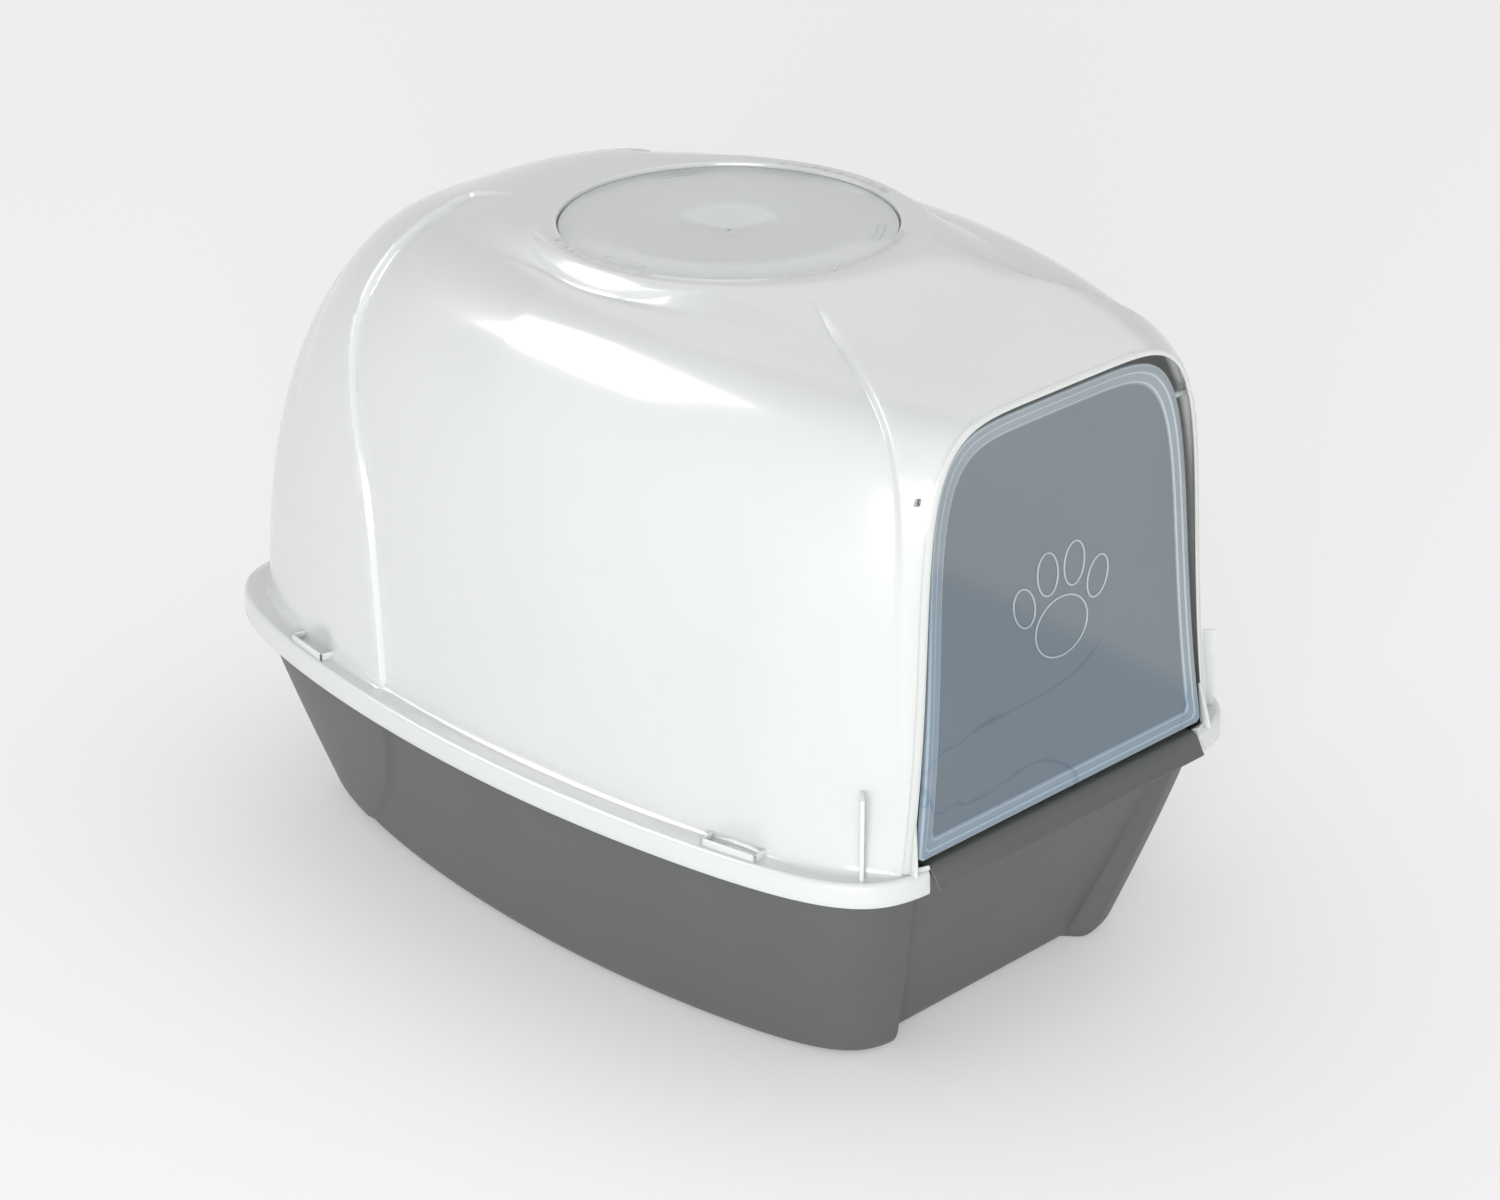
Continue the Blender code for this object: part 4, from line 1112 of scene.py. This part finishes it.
class FilterSettings(bpy.types.PropertyGroup):
    cover_colour: colour_setting("Cover colour", "Colour of the filter cover", (0.560, 0.592, 0.572))
    pad_colour: colour_setting("Pad colour", "Colour of the carbon felt", (0.020, 0.020, 0.022))


class StageSettings(bpy.types.PropertyGroup):
    key_power: bpy.props.FloatProperty(
        name="Key light", description="Power of the large key light", unit='POWER', min=0.0, default=112.0)
    fill_power: bpy.props.FloatProperty(
        name="Rear light", description="Power of the softbox behind", unit='POWER', min=0.0, default=52.0)
    sky: bpy.props.FloatProperty(
        name="Room light", description="Strength of the even light from all around", min=0.0, default=0.80)


# Operators

class LITTERBOX_OT_tray(bpy.types.Operator):
    """Build the tray with its rolled front lip"""
    bl_idname = "litterbox.tray"
    bl_label = "Build tray"

    def execute(self, context):
        settings = context.scene.litterbox_tray
        build_tray(satin_grey("tray satin grey", settings.colour), collection("tray"))
        return {'FINISHED'}


class LITTERBOX_OT_hood(bpy.types.Operator):
    """Build the hood with its rim, doorway lip, ribs, guards and filter seat"""
    bl_idname = "litterbox.hood"
    bl_label = "Build hood"

    def execute(self, context):
        settings = context.scene.litterbox_hood
        build_hood(gloss_white("hood pearl white", settings.colour, settings.roughness), collection("hood"))
        return {'FINISHED'}


class LITTERBOX_OT_flap(bpy.types.Operator):
    """Build the clear door flap with its stepped border and pins"""
    bl_idname = "litterbox.flap"
    bl_label = "Build door flap"

    def execute(self, context):
        settings = context.scene.litterbox_flap
        smoke = smoked_clear("flap smoked plastic", settings.colour, 0.72, 0.12)
        border = smoked_clear("flap thick border", settings.border_colour, 0.80, 0.22)
        frost = smoked_clear("flap frosted lines", settings.line_colour, 0.92, 0.36)
        build_flap(smoke, border, frost, collection("door flap"))
        return {'FINISHED'}


class LITTERBOX_OT_filter(bpy.types.Operator):
    """Build the round filter cover and the carbon pad below it"""
    bl_idname = "litterbox.filter"
    bl_label = "Build filter"

    def execute(self, context):
        settings = context.scene.litterbox_filter
        cover_paint = gloss_white("cover satin white", settings.cover_colour, 0.34)
        build_filter(cover_paint, black_felt("carbon felt", settings.pad_colour), collection("filter"))
        return {'FINISHED'}


def area_light(name, power, size, place, target):
    data = bpy.data.lights.new(name, 'AREA')
    data.shape = 'RECTANGLE'
    data.size = size[0]
    data.size_y = size[1]
    data.energy = power
    lamp = bpy.data.objects.new(name, data)
    lamp.location = place
    lamp.rotation_euler = (Vector(target) - Vector(place)).to_track_quat('-Z', 'Y').to_euler()
    bpy.context.scene.collection.objects.link(lamp)
    return lamp


class LITTERBOX_OT_stage(bpy.types.Operator):
    """Set up the pale floor, the soft lights and the camera"""
    bl_idname = "litterbox.stage"
    bl_label = "Set stage"

    def execute(self, context):
        settings = context.scene.litterbox_stage
        builder = bmesh.new()
        bmesh.ops.create_grid(builder, x_segments=1, y_segments=1, size=14.0)
        floor = mesh_object(builder, "pale_floor", context.scene.collection)
        paint = bpy.data.materials.new("pale floor")
        paint.use_nodes = True
        set_sockets(paint.node_tree, paint.node_tree.nodes["Principled BSDF"], {
            "Base Color": (0.78, 0.78, 0.78, 1.0), "Emission Color": (1.0, 1.0, 1.0, 1.0),
            "Emission Strength": 0.20, "Roughness": 0.9, "Specular IOR Level": 0.0})
        floor.data.materials.append(paint)
        world = bpy.data.worlds.new("even room light")
        world.use_nodes = True
        set_sockets(world.node_tree, world.node_tree.nodes["Background"],
                    {"Color": (1.0, 1.0, 1.0, 1.0), "Strength": settings.sky})
        context.scene.world = world
        area_light("key", settings.key_power, (2.2, 1.2), (-3.3, -2.5, 0.7), (0.0, 0.0, 0.2))
        fill = settings.fill_power
        rear = area_light("rear softbox", fill, (1.7, 1.5), (-1.45, 1.45, 1.85), (0.0, 0.0, 0.25))
        side = area_light("right softbox", fill * 0.2, (2.4, 2.0), (1.7, 1.2, 2.4), (0.0, -0.1, 0.3))
        rear.visible_diffuse = side.visible_diffuse = False
        data = bpy.data.cameras.new("camera")
        data.sensor_width = 36.0
        data.lens = 100.8
        data.clip_end = 60.0
        camera = bpy.data.objects.new("camera", data)
        camera.location = (-1.52048, -1.51503, 1.15731)
        camera.rotation_euler = (math.radians(90.0 - 24.8277), 0.0, math.radians(-45.7484))
        context.scene.collection.objects.link(camera)
        context.scene.camera = camera
        context.scene.view_settings.view_transform = 'Standard'
        return {'FINISHED'}


class LITTERBOX_PT_panel(bpy.types.Panel):
    """Lists the pieces of the litter box and their settings"""
    bl_idname = "LITTERBOX_PT_panel"
    bl_label = "Litter Box"
    bl_space_type = 'VIEW_3D'
    bl_region_type = 'UI'
    bl_category = "Litter Box"

    def draw(self, context):
        scene = context.scene
        rows = ((scene.litterbox_tray, ("colour",), "litterbox.tray"),
                (scene.litterbox_hood, ("colour", "roughness"), "litterbox.hood"),
                (scene.litterbox_flap, ("colour", "border_colour", "line_colour"), "litterbox.flap"),
                (scene.litterbox_filter, ("cover_colour", "pad_colour"), "litterbox.filter"),
                (scene.litterbox_stage, ("key_power", "fill_power", "sky"), "litterbox.stage"))
        for settings, names, operator in rows:
            box = self.layout.box()
            for name in names:
                box.prop(settings, name)
            box.operator(operator)


GROUPS = (("litterbox_hood", HoodSettings), ("litterbox_tray", TraySettings),
          ("litterbox_flap", FlapSettings), ("litterbox_filter", FilterSettings),
          ("litterbox_stage", StageSettings))
BUTTONS = (LITTERBOX_OT_tray, LITTERBOX_OT_hood, LITTERBOX_OT_flap, LITTERBOX_OT_filter, LITTERBOX_OT_stage,
           LITTERBOX_PT_panel)


def register():
    for name, kind in GROUPS:
        bpy.utils.register_class(kind)
        setattr(bpy.types.Scene, name, bpy.props.PointerProperty(type=kind))
    for kind in BUTTONS:
        bpy.utils.register_class(kind)


def unregister():
    for kind in reversed(BUTTONS):
        bpy.utils.unregister_class(kind)
    for name, kind in reversed(GROUPS):
        delattr(bpy.types.Scene, name)
        bpy.utils.unregister_class(kind)


def main():
    register()
    bpy.ops.litterbox.tray()
    bpy.ops.litterbox.hood()
    bpy.ops.litterbox.flap()
    bpy.ops.litterbox.filter()
    bpy.ops.litterbox.stage()


if __name__ == "__main__":
    main()
